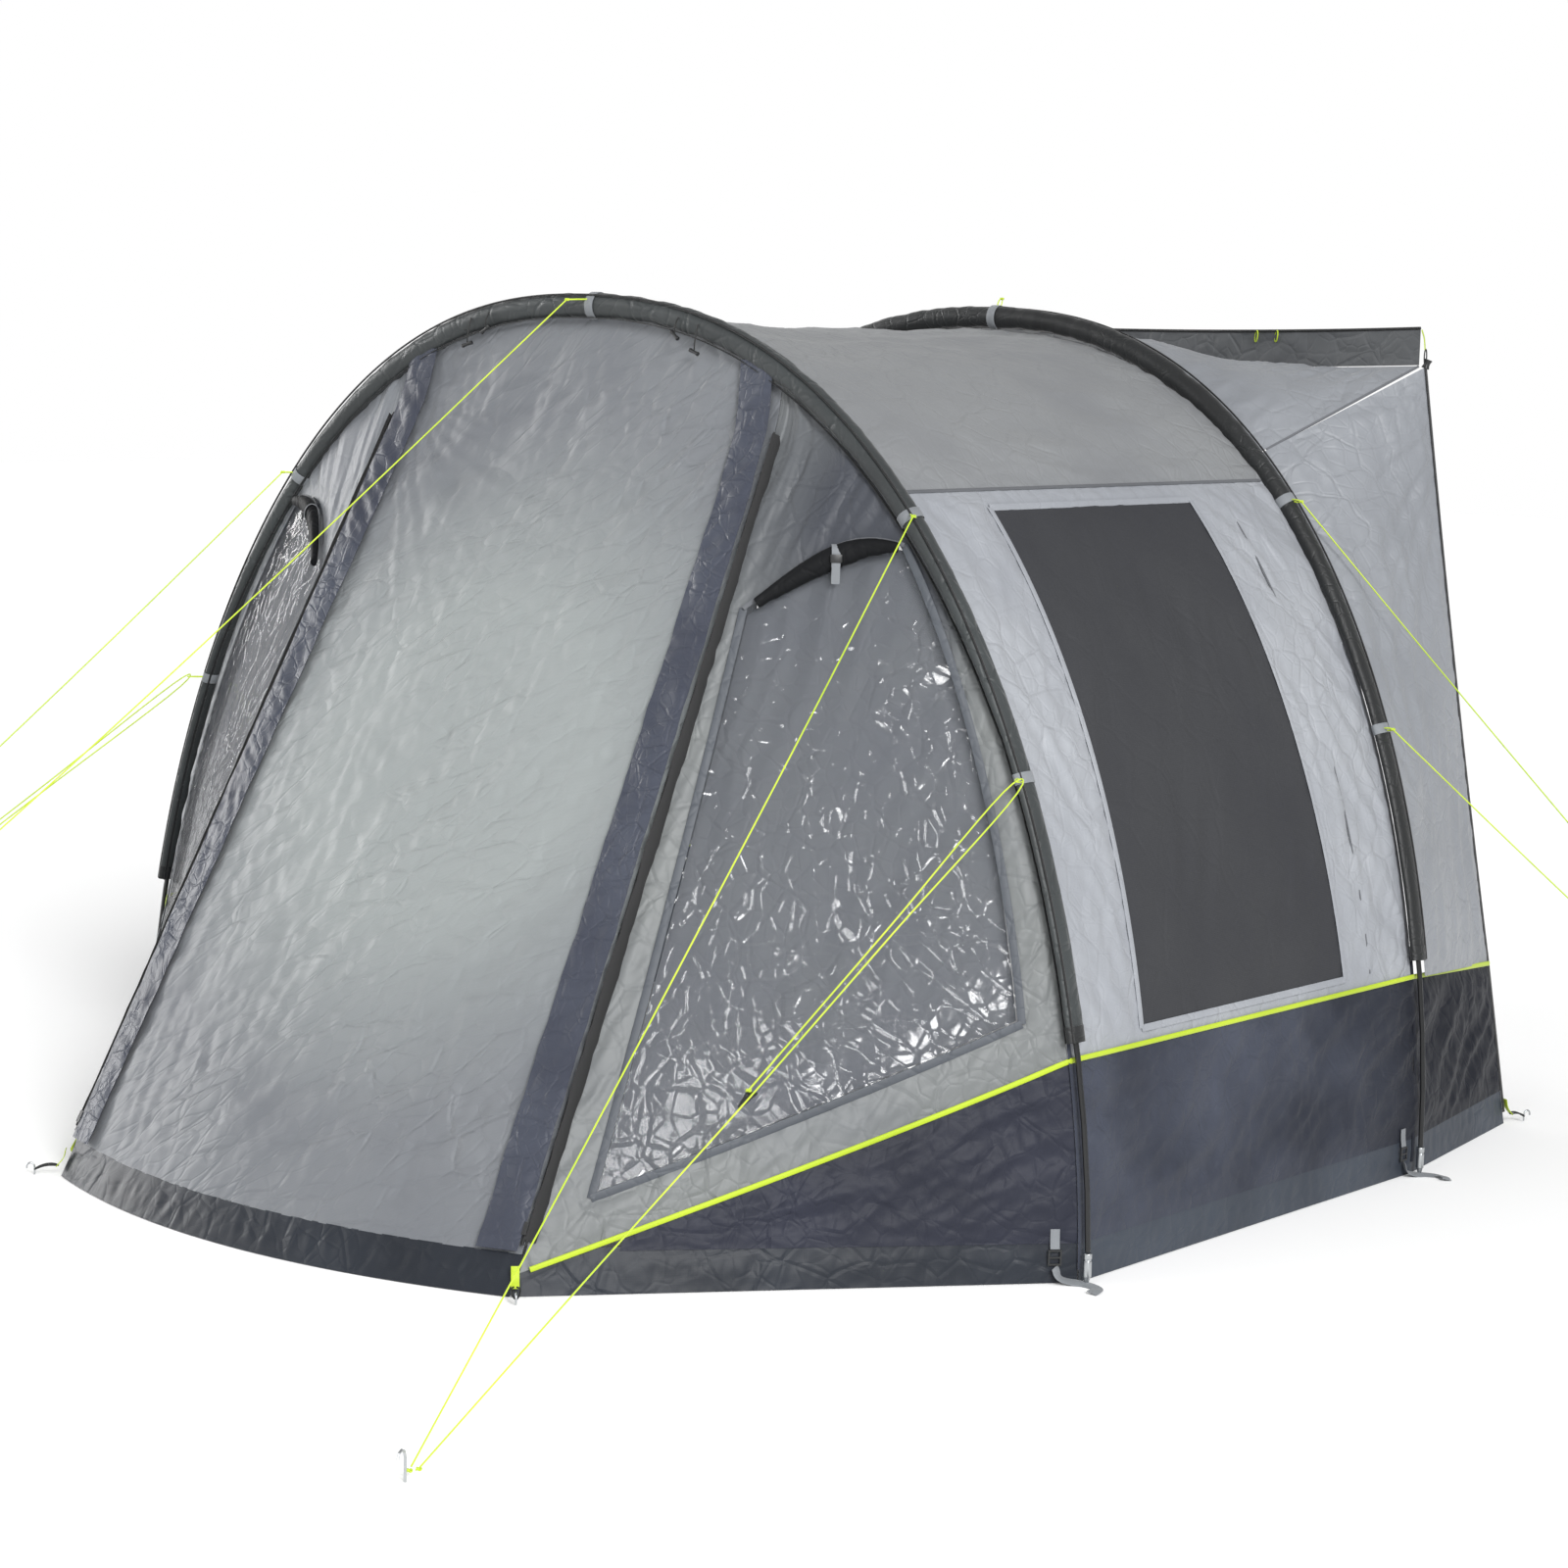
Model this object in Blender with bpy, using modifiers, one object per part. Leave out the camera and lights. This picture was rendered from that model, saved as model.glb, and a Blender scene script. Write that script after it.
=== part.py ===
"""Drive-away awning: a two-arch tent with a sloping porch and a tunnel that joins a vehicle.

Metres, +Z up. X runs across the tent, the porch and its door face -Y and the vehicle is at +Y.
The origin is on the ground, at the centre of the tent's own length and width.
"""

import math

import bpy
import bmesh
from mathutils import Matrix, Vector

# Arches
ARCH_HEIGHT = 2.055  # ground to the pole's centre line at the crown
ARCH_HALF_WIDTH = 1.520  # middle of the tent to a pole's foot
ARCH_HEIGHT_POWER = 1.8  # how slowly a leg leans in as it rises
ARCH_WIDTH_POWER = 2.3  # how flat the crown is
ARCH_SPACING = 1.400  # foot to foot, front arch to rear arch
FRONT_LEAN = math.radians(0.8)  # rearward
REAR_LEAN = math.radians(5.4)
POLE_RADIUS = 0.00635
SLEEVE_WIDTH = 0.056
SLEEVE_DEPTH = 0.026
SLEEVE_WALL = 0.0015
SLEEVE_END_HEIGHT = 0.515
FOOT_RADIUS = 0.0095
FOOT_HEIGHT = 0.070
POLE_END_GAP = 0.0012  # the pole leans in a little where it meets its upright foot

# Fabric
FABRIC = 0.002
SEAM_GAP = 0.002  # each panel is drawn back this far from its seam
SKIN_INSET = SLEEVE_DEPTH / 2 + 0.009  # pole's centre line in to the fabric that hangs under it
GROUND_CLEARANCE = 0.004
MUD_FLAP_HEIGHT = 0.090

# Porch
PORCH_DEPTH = 0.940  # front arch to a front corner
PORCH_CORNER_HALF_WIDTH = 0.725
DOOR_TOP_HALF_WIDTH = 0.600
DOOR_TOP_HEIGHT = 1.800
DOOR_TOP_BACK = 0.010  # the door's fold lies this far behind the front arch's feet
FRONT_BOW = 0.143  # how far the hem bulges forward of its two corners
DOOR_HEM_HEIGHT = 0.080
DOOR_FLAP_WIDTH = 0.090
ZIP_RADIUS = 0.003
ZIP_OUT = Vector((0.003, -0.009, 0.0))  # from the corner seam to the zip, on the right side
ZIP_LOWEST = 0.110
ZIP_TOP_MARGIN = 0.030
SLIDER_SIZE = Vector((0.012, 0.008, 0.028))
SLIDER_CLEARANCE = 0.002  # zip to slider
PULL_WIDTH = 0.007
PULL_THICKNESS = 0.0025
PULL_LENGTH = 0.034

# Openings in the fabric, as shares of a wall's width and as heights
PORCH_WINDOW_START = 0.09
PORCH_WINDOW_END = 0.91
PORCH_WINDOW_TOP = 1.550
PORCH_WINDOW_TOP_AT = 0.75
PORCH_WINDOW_ARC = 0.365
PORCH_WINDOW_SILL_START = 0.190
PORCH_WINDOW_SILL_END = 0.550
PORCH_SILL_MARGIN = 0.020  # least cloth between the piping and the window
SIDE_WINDOW_START = (0.19, 0.21)  # at the piping and at the roof seam
SIDE_WINDOW_END = (0.785, 0.74)
SIDE_WINDOW_TOP = 1.612
SIDE_WINDOW_SILL = 0.030  # above the piping
ROOF_SEAM_HEIGHT = 1.650
ROOF_SAG = 0.020  # halfway between the arches
COVER_ROLL_RADIUS = 0.011
COVER_ROLL_DROP = 0.010  # below the window's top edge
COVER_ROLL_ENDS = (0.14, 0.86)
COVER_ROLL_GAP = 0.006

# Piping between the light fabric and the dark lower wall
PIPING_RADIUS = 0.004
PIPING_CORNER_HEIGHT = 0.045
PIPING_HEIGHT = 0.475
PIPING_TUNNEL_HEIGHT = 0.413
PIPING_OUT = PIPING_RADIUS - 0.0005
PIPING_SEAM = PIPING_RADIUS + 0.002  # from the piping to the cloth above it and below it
PORCH_WALL_START = 0.17  # where the piping has risen clear of the mud flap

# Tunnel to the vehicle
TUNNEL_DEPTH = 0.671  # rear arch's feet to the open end
TUNNEL_TOP_HALF_WIDTH = 1.030
TUNNEL_TOP_HEIGHT = 2.038  # top edge of the strip that joins the vehicle
TUNNEL_TOP_SAG = 0.025  # of that edge, in its middle
VEHICLE_STRIP_HEIGHT = 0.095
TUNNEL_FOOT_HALF_WIDTH = 1.390
TUNNEL_HIP_HEIGHT = 1.720  # where the seam from the top corner meets the rear arch
BEADING_RADIUS = 0.004

# Guy lines and what holds them
GUY_RADIUS = 0.00175
PEG_RADIUS = 0.003
PEG_HEIGHT = 0.060
PEG_HOOK = 0.012
PEG_STAND_OFF = 0.014  # line's end to the peg
TENSIONER_LENGTH = 0.046
TENSIONER_WIDTH = 0.028
TENSIONER_HOLE_RADIUS = 0.0035
TENSIONER_MARGIN = 0.010  # wide end to its holes
TENSIONER_TIP_MARGIN = 0.007
TENSIONER_TIP_HOLE_RADIUS = 0.003
TENSIONER_CLEARANCE = 0.001  # between the plate and the line
PLATE_THICKNESS = 0.003
BUCKLE_WIDTH = 0.030
BUCKLE_HEIGHT = 0.034
BUCKLE_BAR = 0.004
BUCKLE_TOP_HEIGHT = 0.075
BUCKLE_FROM_POLE = 0.055
BUCKLE_OUT = 0.008

FRONT_REACH = PORCH_DEPTH + FRONT_BOW
LENGTH = FRONT_REACH + ARCH_SPACING + TUNNEL_DEPTH + BEADING_RADIUS
FRONT_ARCH_Y = FRONT_REACH - LENGTH / 2
REAR_ARCH_Y = FRONT_ARCH_Y + ARCH_SPACING
TUNNEL_Y = REAR_ARCH_Y + TUNNEL_DEPTH
HINGE = Vector((0, FRONT_ARCH_Y + DOOR_TOP_BACK, DOOR_TOP_HEIGHT))
SIDES = {"left": -1, "right": 1}

# Routes of the guy lines, from the sleeve down to the peg. A doubled line starts at its tensioner.
APEX_ROUTE = [
    (-0.012, -0.535, 2.052),
    (-0.262, -1.070, 1.508),
    (-0.512, -1.596, 0.985),
    (-0.766, -2.121, 0.483),
    (-0.994, -2.608, 0.022),
]
FRONT_UPPER_ROUTE = [
    (1.002, -0.512, 1.606),
    (1.104, -0.980, 1.196),
    (1.205, -1.446, 0.800),
    (1.308, -1.918, 0.405),
    (1.408, -2.385, 0.022),
]
FRONT_LOWER_ROUTE = [
    (1.369, -1.452, 0.543),
    (1.342, -1.000, 0.799),
    (1.316, -0.548, 1.058),
    (1.328, -0.531, 1.069),
    (1.341, -0.545, 1.060),
    (1.363, -1.000, 0.800),
    (1.386, -1.460, 0.539),
    (1.403, -1.900, 0.293),
    (1.426, -2.385, 0.022),
]
REAR_UPPER_ROUTE = [
    (1.018, 1.045, 1.604),
    (1.338, 1.208, 1.202),
    (1.658, 1.371, 0.806),
    (1.978, 1.534, 0.412),
    (2.278, 1.688, 0.022),
]
REAR_LOWER_ROUTE = [
    (1.334, 1.000, 1.066),
    (1.574, 1.174, 0.798),
    (1.814, 1.348, 0.534),
    (2.054, 1.522, 0.273),
    (2.270, 1.702, 0.022),
]


def clear_scene():
    for obj in list(bpy.data.objects):
        bpy.data.objects.remove(obj, do_unlink=True)


def make_collection(name):
    collection = bpy.data.collections.new(name)
    bpy.context.scene.collection.children.link(collection)
    return collection


def make_material(name, colour, roughness, metallic=0.0):
    material = bpy.data.materials.new(name)
    material.use_nodes = True
    shader = material.node_tree.nodes["Principled BSDF"]
    shader.inputs["Base Color"].default_value = (*colour, 1.0)
    shader.inputs["Roughness"].default_value = roughness
    shader.inputs["Metallic"].default_value = metallic
    material.diffuse_color = (*colour, 1.0)
    return material


def add_object(name, data, material, collection, parent=None):
    obj = bpy.data.objects.new(name, data)
    collection.objects.link(obj)
    data.materials.append(material)
    if parent:
        obj.parent = parent
        obj.matrix_parent_inverse = Matrix.Translation(parent.location).inverted()
    return obj


# ---- The arch: one curve that every panel, sleeve and pole is measured from


def half_width(height, inset=0.0):
    """Half the arch's width at a height above the ground."""
    rise = min(height / (ARCH_HEIGHT - inset), 1.0)
    return (ARCH_HALF_WIDTH - inset) * (1 - rise**ARCH_HEIGHT_POWER) ** (1 / ARCH_WIDTH_POWER)


def height_at(x, inset=0.0):
    """The arch's height at a distance from the tent's middle."""
    share = min(abs(x) / (ARCH_HALF_WIDTH - inset), 1.0)
    return (ARCH_HEIGHT - inset) * (1 - share**ARCH_WIDTH_POWER) ** (1 / ARCH_HEIGHT_POWER)


def arch_profile(low, steps, inset=0.0):
    """(x, height) down the arch from its right leg at height low, over the crown, to the left."""
    start = math.asin((low / (ARCH_HEIGHT - inset)) ** (ARCH_HEIGHT_POWER / 2))
    points = []
    for step in range(steps + 1):
        angle = start + (math.pi - 2 * start) * step / steps
        across = abs(math.cos(angle)) ** (2 / ARCH_WIDTH_POWER)
        x = math.copysign((ARCH_HALF_WIDTH - inset) * across, math.cos(angle))
        points.append((x, (ARCH_HEIGHT - inset) * math.sin(angle) ** (2 / ARCH_HEIGHT_POWER)))
    return points


def front_arch_point(x, height):
    return Vector((x, FRONT_ARCH_Y + height * math.tan(FRONT_LEAN), height))


def rear_arch_point(x, height):
    return Vector((x, REAR_ARCH_Y + height * math.tan(REAR_LEAN), height))


# ---- The lines that the walls hang between, each as a function of side and height


def front_leg(side, height):
    return front_arch_point(side * half_width(height, SKIN_INSET), height)


def rear_leg(side, height):
    return rear_arch_point(side * half_width(height, SKIN_INSET), height)


def behind_rear_sleeve(point):
    return point + Vector((0, SLEEVE_WIDTH / 2 + SEAM_GAP, 0))


def porch_corner_line(side, height):
    """The straight seam from the door's top corner down to the front corner on the ground."""
    drop = 1 - height / DOOR_TOP_HEIGHT
    x = DOOR_TOP_HALF_WIDTH + (PORCH_CORNER_HALF_WIDTH - DOOR_TOP_HALF_WIDTH) * drop
    back = DOOR_TOP_BACK - (PORCH_DEPTH + DOOR_TOP_BACK) * drop
    return Vector((side * x, FRONT_ARCH_Y + back, height))


def tunnel_edge(side, height):
    drop = 1 - height / TUNNEL_TOP_HEIGHT
    x = TUNNEL_TOP_HALF_WIDTH + (TUNNEL_FOOT_HALF_WIDTH - TUNNEL_TOP_HALF_WIDTH) * drop
    return Vector((side * x, TUNNEL_Y, height))


def side_point(side, across, height):
    """The lower side of the tent: 0 at the front leg, 1 at the rear leg, 2 at the tunnel's end."""
    middle = rear_leg(side, height)
    if across <= 1:
        return front_leg(side, height).lerp(middle, across)
    return middle.lerp(tunnel_edge(side, height), across - 1)


def porch_point(side, across, height):
    return porch_corner_line(side, height).lerp(front_leg(side, height), across)


def front_point(across, height):
    """The sloping front: -1 and 1 at its two corner seams, with the hem bowed forward."""
    point = porch_corner_line(1, height)
    point.x *= across
    point.y -= FRONT_BOW * (1 - across**2) * (1 - height / DOOR_TOP_HEIGHT)
    return point


def porch_piping_height(across):
    return PIPING_CORNER_HEIGHT + (PIPING_HEIGHT - PIPING_CORNER_HEIGHT) * across


def side_piping_height(across):
    return PIPING_HEIGHT + (PIPING_TUNNEL_HEIGHT - PIPING_HEIGHT) * max(across - 1, 0)


# ---- Builders


def spread(start, end, steps):
    return [start + (end - start) * step / steps for step in range(steps + 1)]


def between(levels, position):
    """A value part of the way along a list of levels, so 1.5 is halfway from the 2nd to the 3rd."""
    index = min(int(position), len(levels) - 2)
    return levels[index] + (levels[index + 1] - levels[index]) * (position - index)


def fabric_panel(name, columns, rows, place, material, collection, hole=None, parent=None):
    """A cloth panel: a grid placed on the tent's skin, drawn back from its seams and thickened.

    place(column, row) gives a point. hole names the columns and rows that a window fills.
    """
    net = [[place(column, row) for row in rows] for column in columns]
    last = (len(columns) - 1, len(rows) - 1)

    def drawn_back(i, j):
        point = net[i][j].copy()
        for here, end, inner in ((i, last[0], (1, 0)), (j, last[1], (0, 1))):
            if here in (0, end):
                way = 1 if here == 0 else -1
                neighbour = net[i + way * inner[0]][j + way * inner[1]]
                point += (neighbour - net[i][j]).normalized() * SEAM_GAP
        return point

    mesh = bpy.data.meshes.new(name)
    shape = bmesh.new()
    bmesh.ops.create_grid(shape, x_segments=last[0], y_segments=last[1], size=0.5)
    holes = []
    for face in shape.faces:
        middle = face.calc_center_median()
        i = (middle.x + 0.5) * last[0]
        j = (middle.y + 0.5) * last[1]
        if hole:
            in_columns = hole[0] < between(columns, i) < hole[1]
            if in_columns and hole[2] < between(rows, j) < hole[3]:
                holes.append(face)
    bmesh.ops.delete(shape, geom=holes, context="FACES")
    for vertex in shape.verts:
        i = round((vertex.co.x + 0.5) * last[0])
        j = round((vertex.co.y + 0.5) * last[1])
        vertex.co = drawn_back(i, j)
    shape.to_mesh(mesh)
    shape.free()
    obj = add_object(name, mesh, material, collection, parent)
    wall = obj.modifiers.new("cloth thickness", "SOLIDIFY")
    wall.thickness = FABRIC
    wall.offset = 0
    return obj


def smooth_route(points, samples):
    """Points on a smooth curve through a route's own points, evenly shared between them."""
    points = [Vector(p) for p in points]
    padded = [2 * points[0] - points[1], *points, 2 * points[-1] - points[-2]]
    found = []
    for sample in range(samples):
        place = sample * (len(points) - 1) / (samples - 1)
        k = min(int(place), len(points) - 2)
        near = padded[k : k + 4]
        # A step between points counts as the root of its length, so a hairpin doesn't overshoot.
        knots = [0.0]
        for before, after in zip(near, near[1:]):
            knots.append(knots[-1] + (after - before).length ** 0.5)
        t = knots[1] + (knots[2] - knots[1]) * (place - k)
        for spans in (((0, 1), (1, 2), (2, 3)), ((0, 2), (1, 3)), ((1, 2),)):
            near = [
                near[i].lerp(near[i + 1], (t - knots[low]) / (knots[high] - knots[low]))
                for i, (low, high) in enumerate(spans)
            ]
        found.append(near[0])
    return found


def tube(name, points, radius, material, collection, sides=8):
    curve = bpy.data.curves.new(name, "CURVE")
    curve.dimensions = "3D"
    curve.bevel_depth = radius
    curve.bevel_resolution = sides // 4
    curve.use_fill_caps = True
    spline = curve.splines.new("POLY")
    spline.points.add(len(points) - 1)
    for spot, point in zip(spline.points, points):
        spot.co = (*point, 1)
    return add_object(name, curve, material, collection)


def flat_plate(name, outlines, thickness, material, collection):
    """A flat plate in its own XY plane. The first outline is its edge and the others are holes."""
    curve = bpy.data.curves.new(name, "CURVE")
    curve.dimensions = "2D"
    curve.fill_mode = "BOTH"
    curve.extrude = thickness / 2
    for outline in outlines:
        spline = curve.splines.new("POLY")
        spline.points.add(len(outline) - 1)
        spline.use_cyclic_u = True
        for spot, (x, y) in zip(spline.points, outline):
            spot.co = (x, y, 0, 1)
    return add_object(name, curve, material, collection)


def rectangle(width, low, high):
    return [(-width / 2, low), (width / 2, low), (width / 2, high), (-width / 2, high)]


def polygon(x, y, radius, corners):
    turns = spread(0, 2 * math.pi, corners)[:-1]
    return [(x + radius * math.cos(turn), y + radius * math.sin(turn)) for turn in turns]


# ---- Sub-parts


def arch_curve(name, low, steps, foot_y, lean, material, collection):
    """A flat curve that follows the pole's centre line, stood up and leant back on its feet."""
    curve = bpy.data.curves.new(name, "CURVE")
    curve.dimensions = "2D"
    spline = curve.splines.new("POLY")
    points = arch_profile(low, steps)
    spline.points.add(len(points) - 1)
    for spot, (x, height) in zip(spline.points, points):
        spot.co = (x, height / math.cos(lean), 0, 1)
    obj = add_object(name, curve, material, collection)
    obj.location.y = foot_y
    obj.rotation_euler.x = math.pi / 2 - lean
    return obj


def build_arch(name, foot_y, lean, materials, collection, guides):
    pole = arch_curve(
        f"{name}_pole", FOOT_HEIGHT + POLE_END_GAP, 40, foot_y, lean, materials["pole"], collection
    )
    pole.data.bevel_depth = POLE_RADIUS
    pole.data.bevel_resolution = 2
    pole.data.use_fill_caps = True

    sleeve = arch_curve(
        f"{name}_sleeve", SLEEVE_END_HEIGHT, 36, foot_y, lean, materials["sleeve"], collection
    )
    section = bpy.data.curves.new(f"{name}_sleeve_section", "CURVE")
    section.dimensions = "2D"
    outline = section.splines.new("POLY")
    outline.points.add(11)
    outline.use_cyclic_u = True
    for spot, turn in zip(outline.points, spread(0, 2 * math.pi, 12)):
        x = SLEEVE_DEPTH / 2 * math.cos(turn)
        spot.co = (x, SLEEVE_WIDTH / 2 * math.sin(turn), 0, 1)
    guide = bpy.data.objects.new(f"{name}_sleeve_section", section)
    guides.objects.link(guide)
    guide.hide_render = True
    guide.display_type = "WIRE"
    sleeve.data.bevel_mode = "OBJECT"
    sleeve.data.bevel_object = guide
    wall = sleeve.modifiers.new("sleeve wall", "SOLIDIFY")
    wall.thickness = SLEEVE_WALL
    wall.offset = -1

    for side_name, side in SIDES.items():
        foot_top_y = foot_y + FOOT_HEIGHT * math.tan(lean)
        mesh = bpy.data.meshes.new(f"{name}_foot_{side_name}")
        shape = bmesh.new()
        bmesh.ops.create_cone(
            shape, cap_ends=True, segments=16, radius1=FOOT_RADIUS, radius2=FOOT_RADIUS,
            depth=FOOT_HEIGHT,
        )
        bmesh.ops.translate(shape, verts=shape.verts, vec=(0, 0, FOOT_HEIGHT / 2))
        shape.to_mesh(mesh)
        shape.free()
        foot = add_object(mesh.name, mesh, materials["steel"], collection)
        foot.location = (side * half_width(FOOT_HEIGHT), foot_top_y, 0)


def build_front(materials, collection):
    hinge = bpy.data.objects.new("door_hinge", None)
    hinge.location = HINGE
    collection.objects.link(hinge)

    end = half_width(DOOR_TOP_HEIGHT, SKIN_INSET)

    def header_point(across, rise):
        x = across * end
        top = front_arch_point(x, height_at(x, SKIN_INSET))
        beyond = max(abs(x) - DOOR_TOP_HALF_WIDTH, 0) / (end - DOOR_TOP_HALF_WIDTH)
        y = HINGE.y + (front_leg(1, DOOR_TOP_HEIGHT).y - HINGE.y) * beyond
        return Vector((x, y, DOOR_TOP_HEIGHT)).lerp(top, rise)

    fabric_panel(
        "door_header", spread(-0.95, 0.95, 14), spread(0, 1, 2), header_point,
        materials["light fabric"], collection,
    )

    def flap_start(height):
        half = porch_corner_line(1, height).x
        return (half - DOOR_FLAP_WIDTH) / half

    fabric_panel(
        "door_panel", spread(-1, 1, 10), spread(DOOR_HEM_HEIGHT, DOOR_TOP_HEIGHT, 4),
        lambda across, height: front_point(across * flap_start(height), height),
        materials["light fabric"], collection, parent=hinge,
    )
    for side_name, side in SIDES.items():
        fabric_panel(
            f"door_flap_{side_name}", [0, 1], spread(DOOR_HEM_HEIGHT, DOOR_TOP_HEIGHT, 4),
            lambda across, height, side=side: front_point(
                side * (flap_start(height) + (1 - flap_start(height)) * across), height
            ),
            materials["dark fabric"], collection, parent=hinge,
        )
    fabric_panel(
        "door_skirt", spread(-1, 1, 12), [GROUND_CLEARANCE, DOOR_HEM_HEIGHT], front_point,
        materials["mud flap"], collection, parent=hinge,
    )


def build_zip(side_name, side, materials, collection):
    out = Vector((side * ZIP_OUT.x, ZIP_OUT.y, 0))
    low = porch_corner_line(side, ZIP_LOWEST) + out
    high = porch_corner_line(side, DOOR_TOP_HEIGHT - ZIP_TOP_MARGIN) + out
    tube(f"zip_{side_name}", [low, high], ZIP_RADIUS, materials["zip"], collection)

    # The slider rides on the front of the zip, with its pull hanging below it.
    mesh = bpy.data.meshes.new(f"zip_slider_{side_name}")
    shape = bmesh.new()
    made = bmesh.ops.create_cube(shape, size=1)
    bmesh.ops.scale(shape, vec=SLIDER_SIZE, verts=made["verts"])
    front = [v for v in made["verts"] if v.co.y < 0]
    bmesh.ops.scale(shape, vec=(0.7, 1, 0.75), verts=front)
    shape.to_mesh(mesh)
    shape.free()
    slider = add_object(mesh.name, mesh, materials["zip"], collection)
    run = (high - low).normalized()
    slider.location = (
        low + run * SLIDER_SIZE.z
        - Vector((0, ZIP_RADIUS + SLIDER_SIZE.y / 2 + SLIDER_CLEARANCE, 0))
    )
    slider.rotation_euler = run.to_track_quat("Z", "Y").to_euler()
    pull = bpy.data.meshes.new(f"zip_pull_{side_name}_cutter")
    shape = bmesh.new()
    made = bmesh.ops.create_cube(shape, size=1)
    bmesh.ops.scale(shape, vec=(PULL_WIDTH, PULL_THICKNESS, PULL_LENGTH), verts=made["verts"])
    lowered = Vector((0, -(SLIDER_SIZE.y - PULL_THICKNESS) / 2, -PULL_LENGTH / 2))
    bmesh.ops.translate(shape, vec=lowered, verts=made["verts"])
    shape.to_mesh(pull)
    shape.free()
    return slider, pull


def join_pull(slider, pull, guides):
    """Joins the pull tab to its slider as one body."""
    helper = bpy.data.objects.new(pull.name, pull)
    guides.objects.link(helper)
    helper.location = slider.location
    helper.rotation_euler = slider.rotation_euler
    helper.hide_render = True
    helper.display_type = "WIRE"
    union = slider.modifiers.new("pull", "BOOLEAN")
    union.operation = "UNION"
    union.object = helper


def build_porch_side(side_name, side, materials, collection):
    def sill(across):
        share = (across - PORCH_WINDOW_START) / (PORCH_WINDOW_END - PORCH_WINDOW_START)
        return PORCH_WINDOW_SILL_START + (PORCH_WINDOW_SILL_END - PORCH_WINDOW_SILL_START) * share

    def window_top(across):
        return PORCH_WINDOW_TOP - PORCH_WINDOW_ARC * (across - PORCH_WINDOW_TOP_AT) ** 2

    def place(across, row):
        levels = [
            porch_piping_height(across) + PIPING_SEAM,
            max(sill(across), porch_piping_height(across) + PORCH_SILL_MARGIN),
            window_top(across),
            DOOR_TOP_HEIGHT,
        ]
        return porch_point(side, across, between(levels, row))

    window = spread(PORCH_WINDOW_START, PORCH_WINDOW_END, 5)
    window_rows = spread(1, 2, 5)
    fabric_panel(
        f"porch_side_{side_name}", [0, *window, 1], [0, *window_rows, 3], place,
        materials["light fabric"], collection,
        hole=(PORCH_WINDOW_START, PORCH_WINDOW_END, 1, 2),
    )
    fabric_panel(
        f"clear_window_{side_name}", window, window_rows, place,
        materials["clear window"], collection,
    )

    outward = (front_leg(side, PIPING_HEIGHT) - porch_corner_line(side, PIPING_HEIGHT))
    outward = Vector((outward.y, -outward.x, 0)).normalized() * side
    roll_out = outward * (COVER_ROLL_RADIUS + FABRIC / 2 + COVER_ROLL_GAP)
    roll = [
        porch_point(side, across, window_top(across) - COVER_ROLL_DROP) + roll_out
        for across in spread(*COVER_ROLL_ENDS, 9)
    ]
    tube(
        f"window_cover_roll_{side_name}", roll, COVER_ROLL_RADIUS,
        materials["dark fabric"], collection,
    )

    def flap_top(across):
        return min(MUD_FLAP_HEIGHT, porch_piping_height(across) - PIPING_SEAM)

    fabric_panel(
        f"porch_lower_wall_{side_name}", spread(PORCH_WALL_START, 1, 4), [0, 1],
        lambda across, rise: porch_point(
            side, across,
            MUD_FLAP_HEIGHT + (porch_piping_height(across) - PIPING_SEAM - MUD_FLAP_HEIGHT) * rise,
        ),
        materials["dark fabric"], collection,
    )
    fabric_panel(
        f"porch_mud_flap_{side_name}", spread(0, 1, 6), [0, 1],
        lambda across, rise: porch_point(
            side, across, GROUND_CLEARANCE + (flap_top(across) - GROUND_CLEARANCE) * rise
        ),
        materials["mud flap"], collection,
    )


def build_side(side_name, side, materials, collection):
    def place(column, row):
        sill = PIPING_HEIGHT + SIDE_WINDOW_SILL
        levels = [PIPING_HEIGHT + PIPING_SEAM, sill, SIDE_WINDOW_TOP, ROOF_SEAM_HEIGHT]
        height = between(levels, row)
        rise = (height - levels[0]) / (levels[-1] - levels[0])
        edges = [0, between(SIDE_WINDOW_START, rise), between(SIDE_WINDOW_END, rise), 1]
        return side_point(side, between(edges, column), height)

    window = [1, 1.5, 2]
    rows = spread(1, 2, 7)
    fabric_panel(
        f"side_wall_{side_name}", [0, *window, 3], [0, *rows, 3], place,
        materials["light fabric"], collection, hole=(1, 2, 1, 2),
    )
    fabric_panel(
        f"mesh_window_{side_name}", window, rows, place, materials["mesh"], collection
    )
    fabric_panel(
        f"side_lower_wall_{side_name}", [0, 0.5, 1, 1.5, 2], [0, 1],
        lambda across, rise: side_point(
            side, across,
            MUD_FLAP_HEIGHT + (side_piping_height(across) - PIPING_SEAM - MUD_FLAP_HEIGHT) * rise,
        ),
        materials["dark fabric"], collection,
    )
    fabric_panel(
        f"side_mud_flap_{side_name}", [0, 0.5, 1, 1.5, 2], [GROUND_CLEARANCE, MUD_FLAP_HEIGHT],
        lambda across, height: side_point(side, across, height),
        materials["mud flap"], collection,
    )


def build_piping(side_name, side, materials, collection):
    """One strip of piping, round the porch, along the side and to the end of the tunnel."""
    points = []
    for start, end, line, level in (
        (0.03, 0.985, porch_point, porch_piping_height),
        (0.015, 0.985, side_point, side_piping_height),
        (1.03, 1.99, side_point, side_piping_height),
    ):
        first = line(side, start, level(start))
        last = line(side, end, level(end))
        run = last - first
        outward = Vector((run.y, -run.x, 0)).normalized() * side * PIPING_OUT
        points += [line(side, a, level(a)) + outward for a in spread(start, end, 3)]
    tube(f"piping_{side_name}", points, PIPING_RADIUS, materials["lime"], collection)


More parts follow.
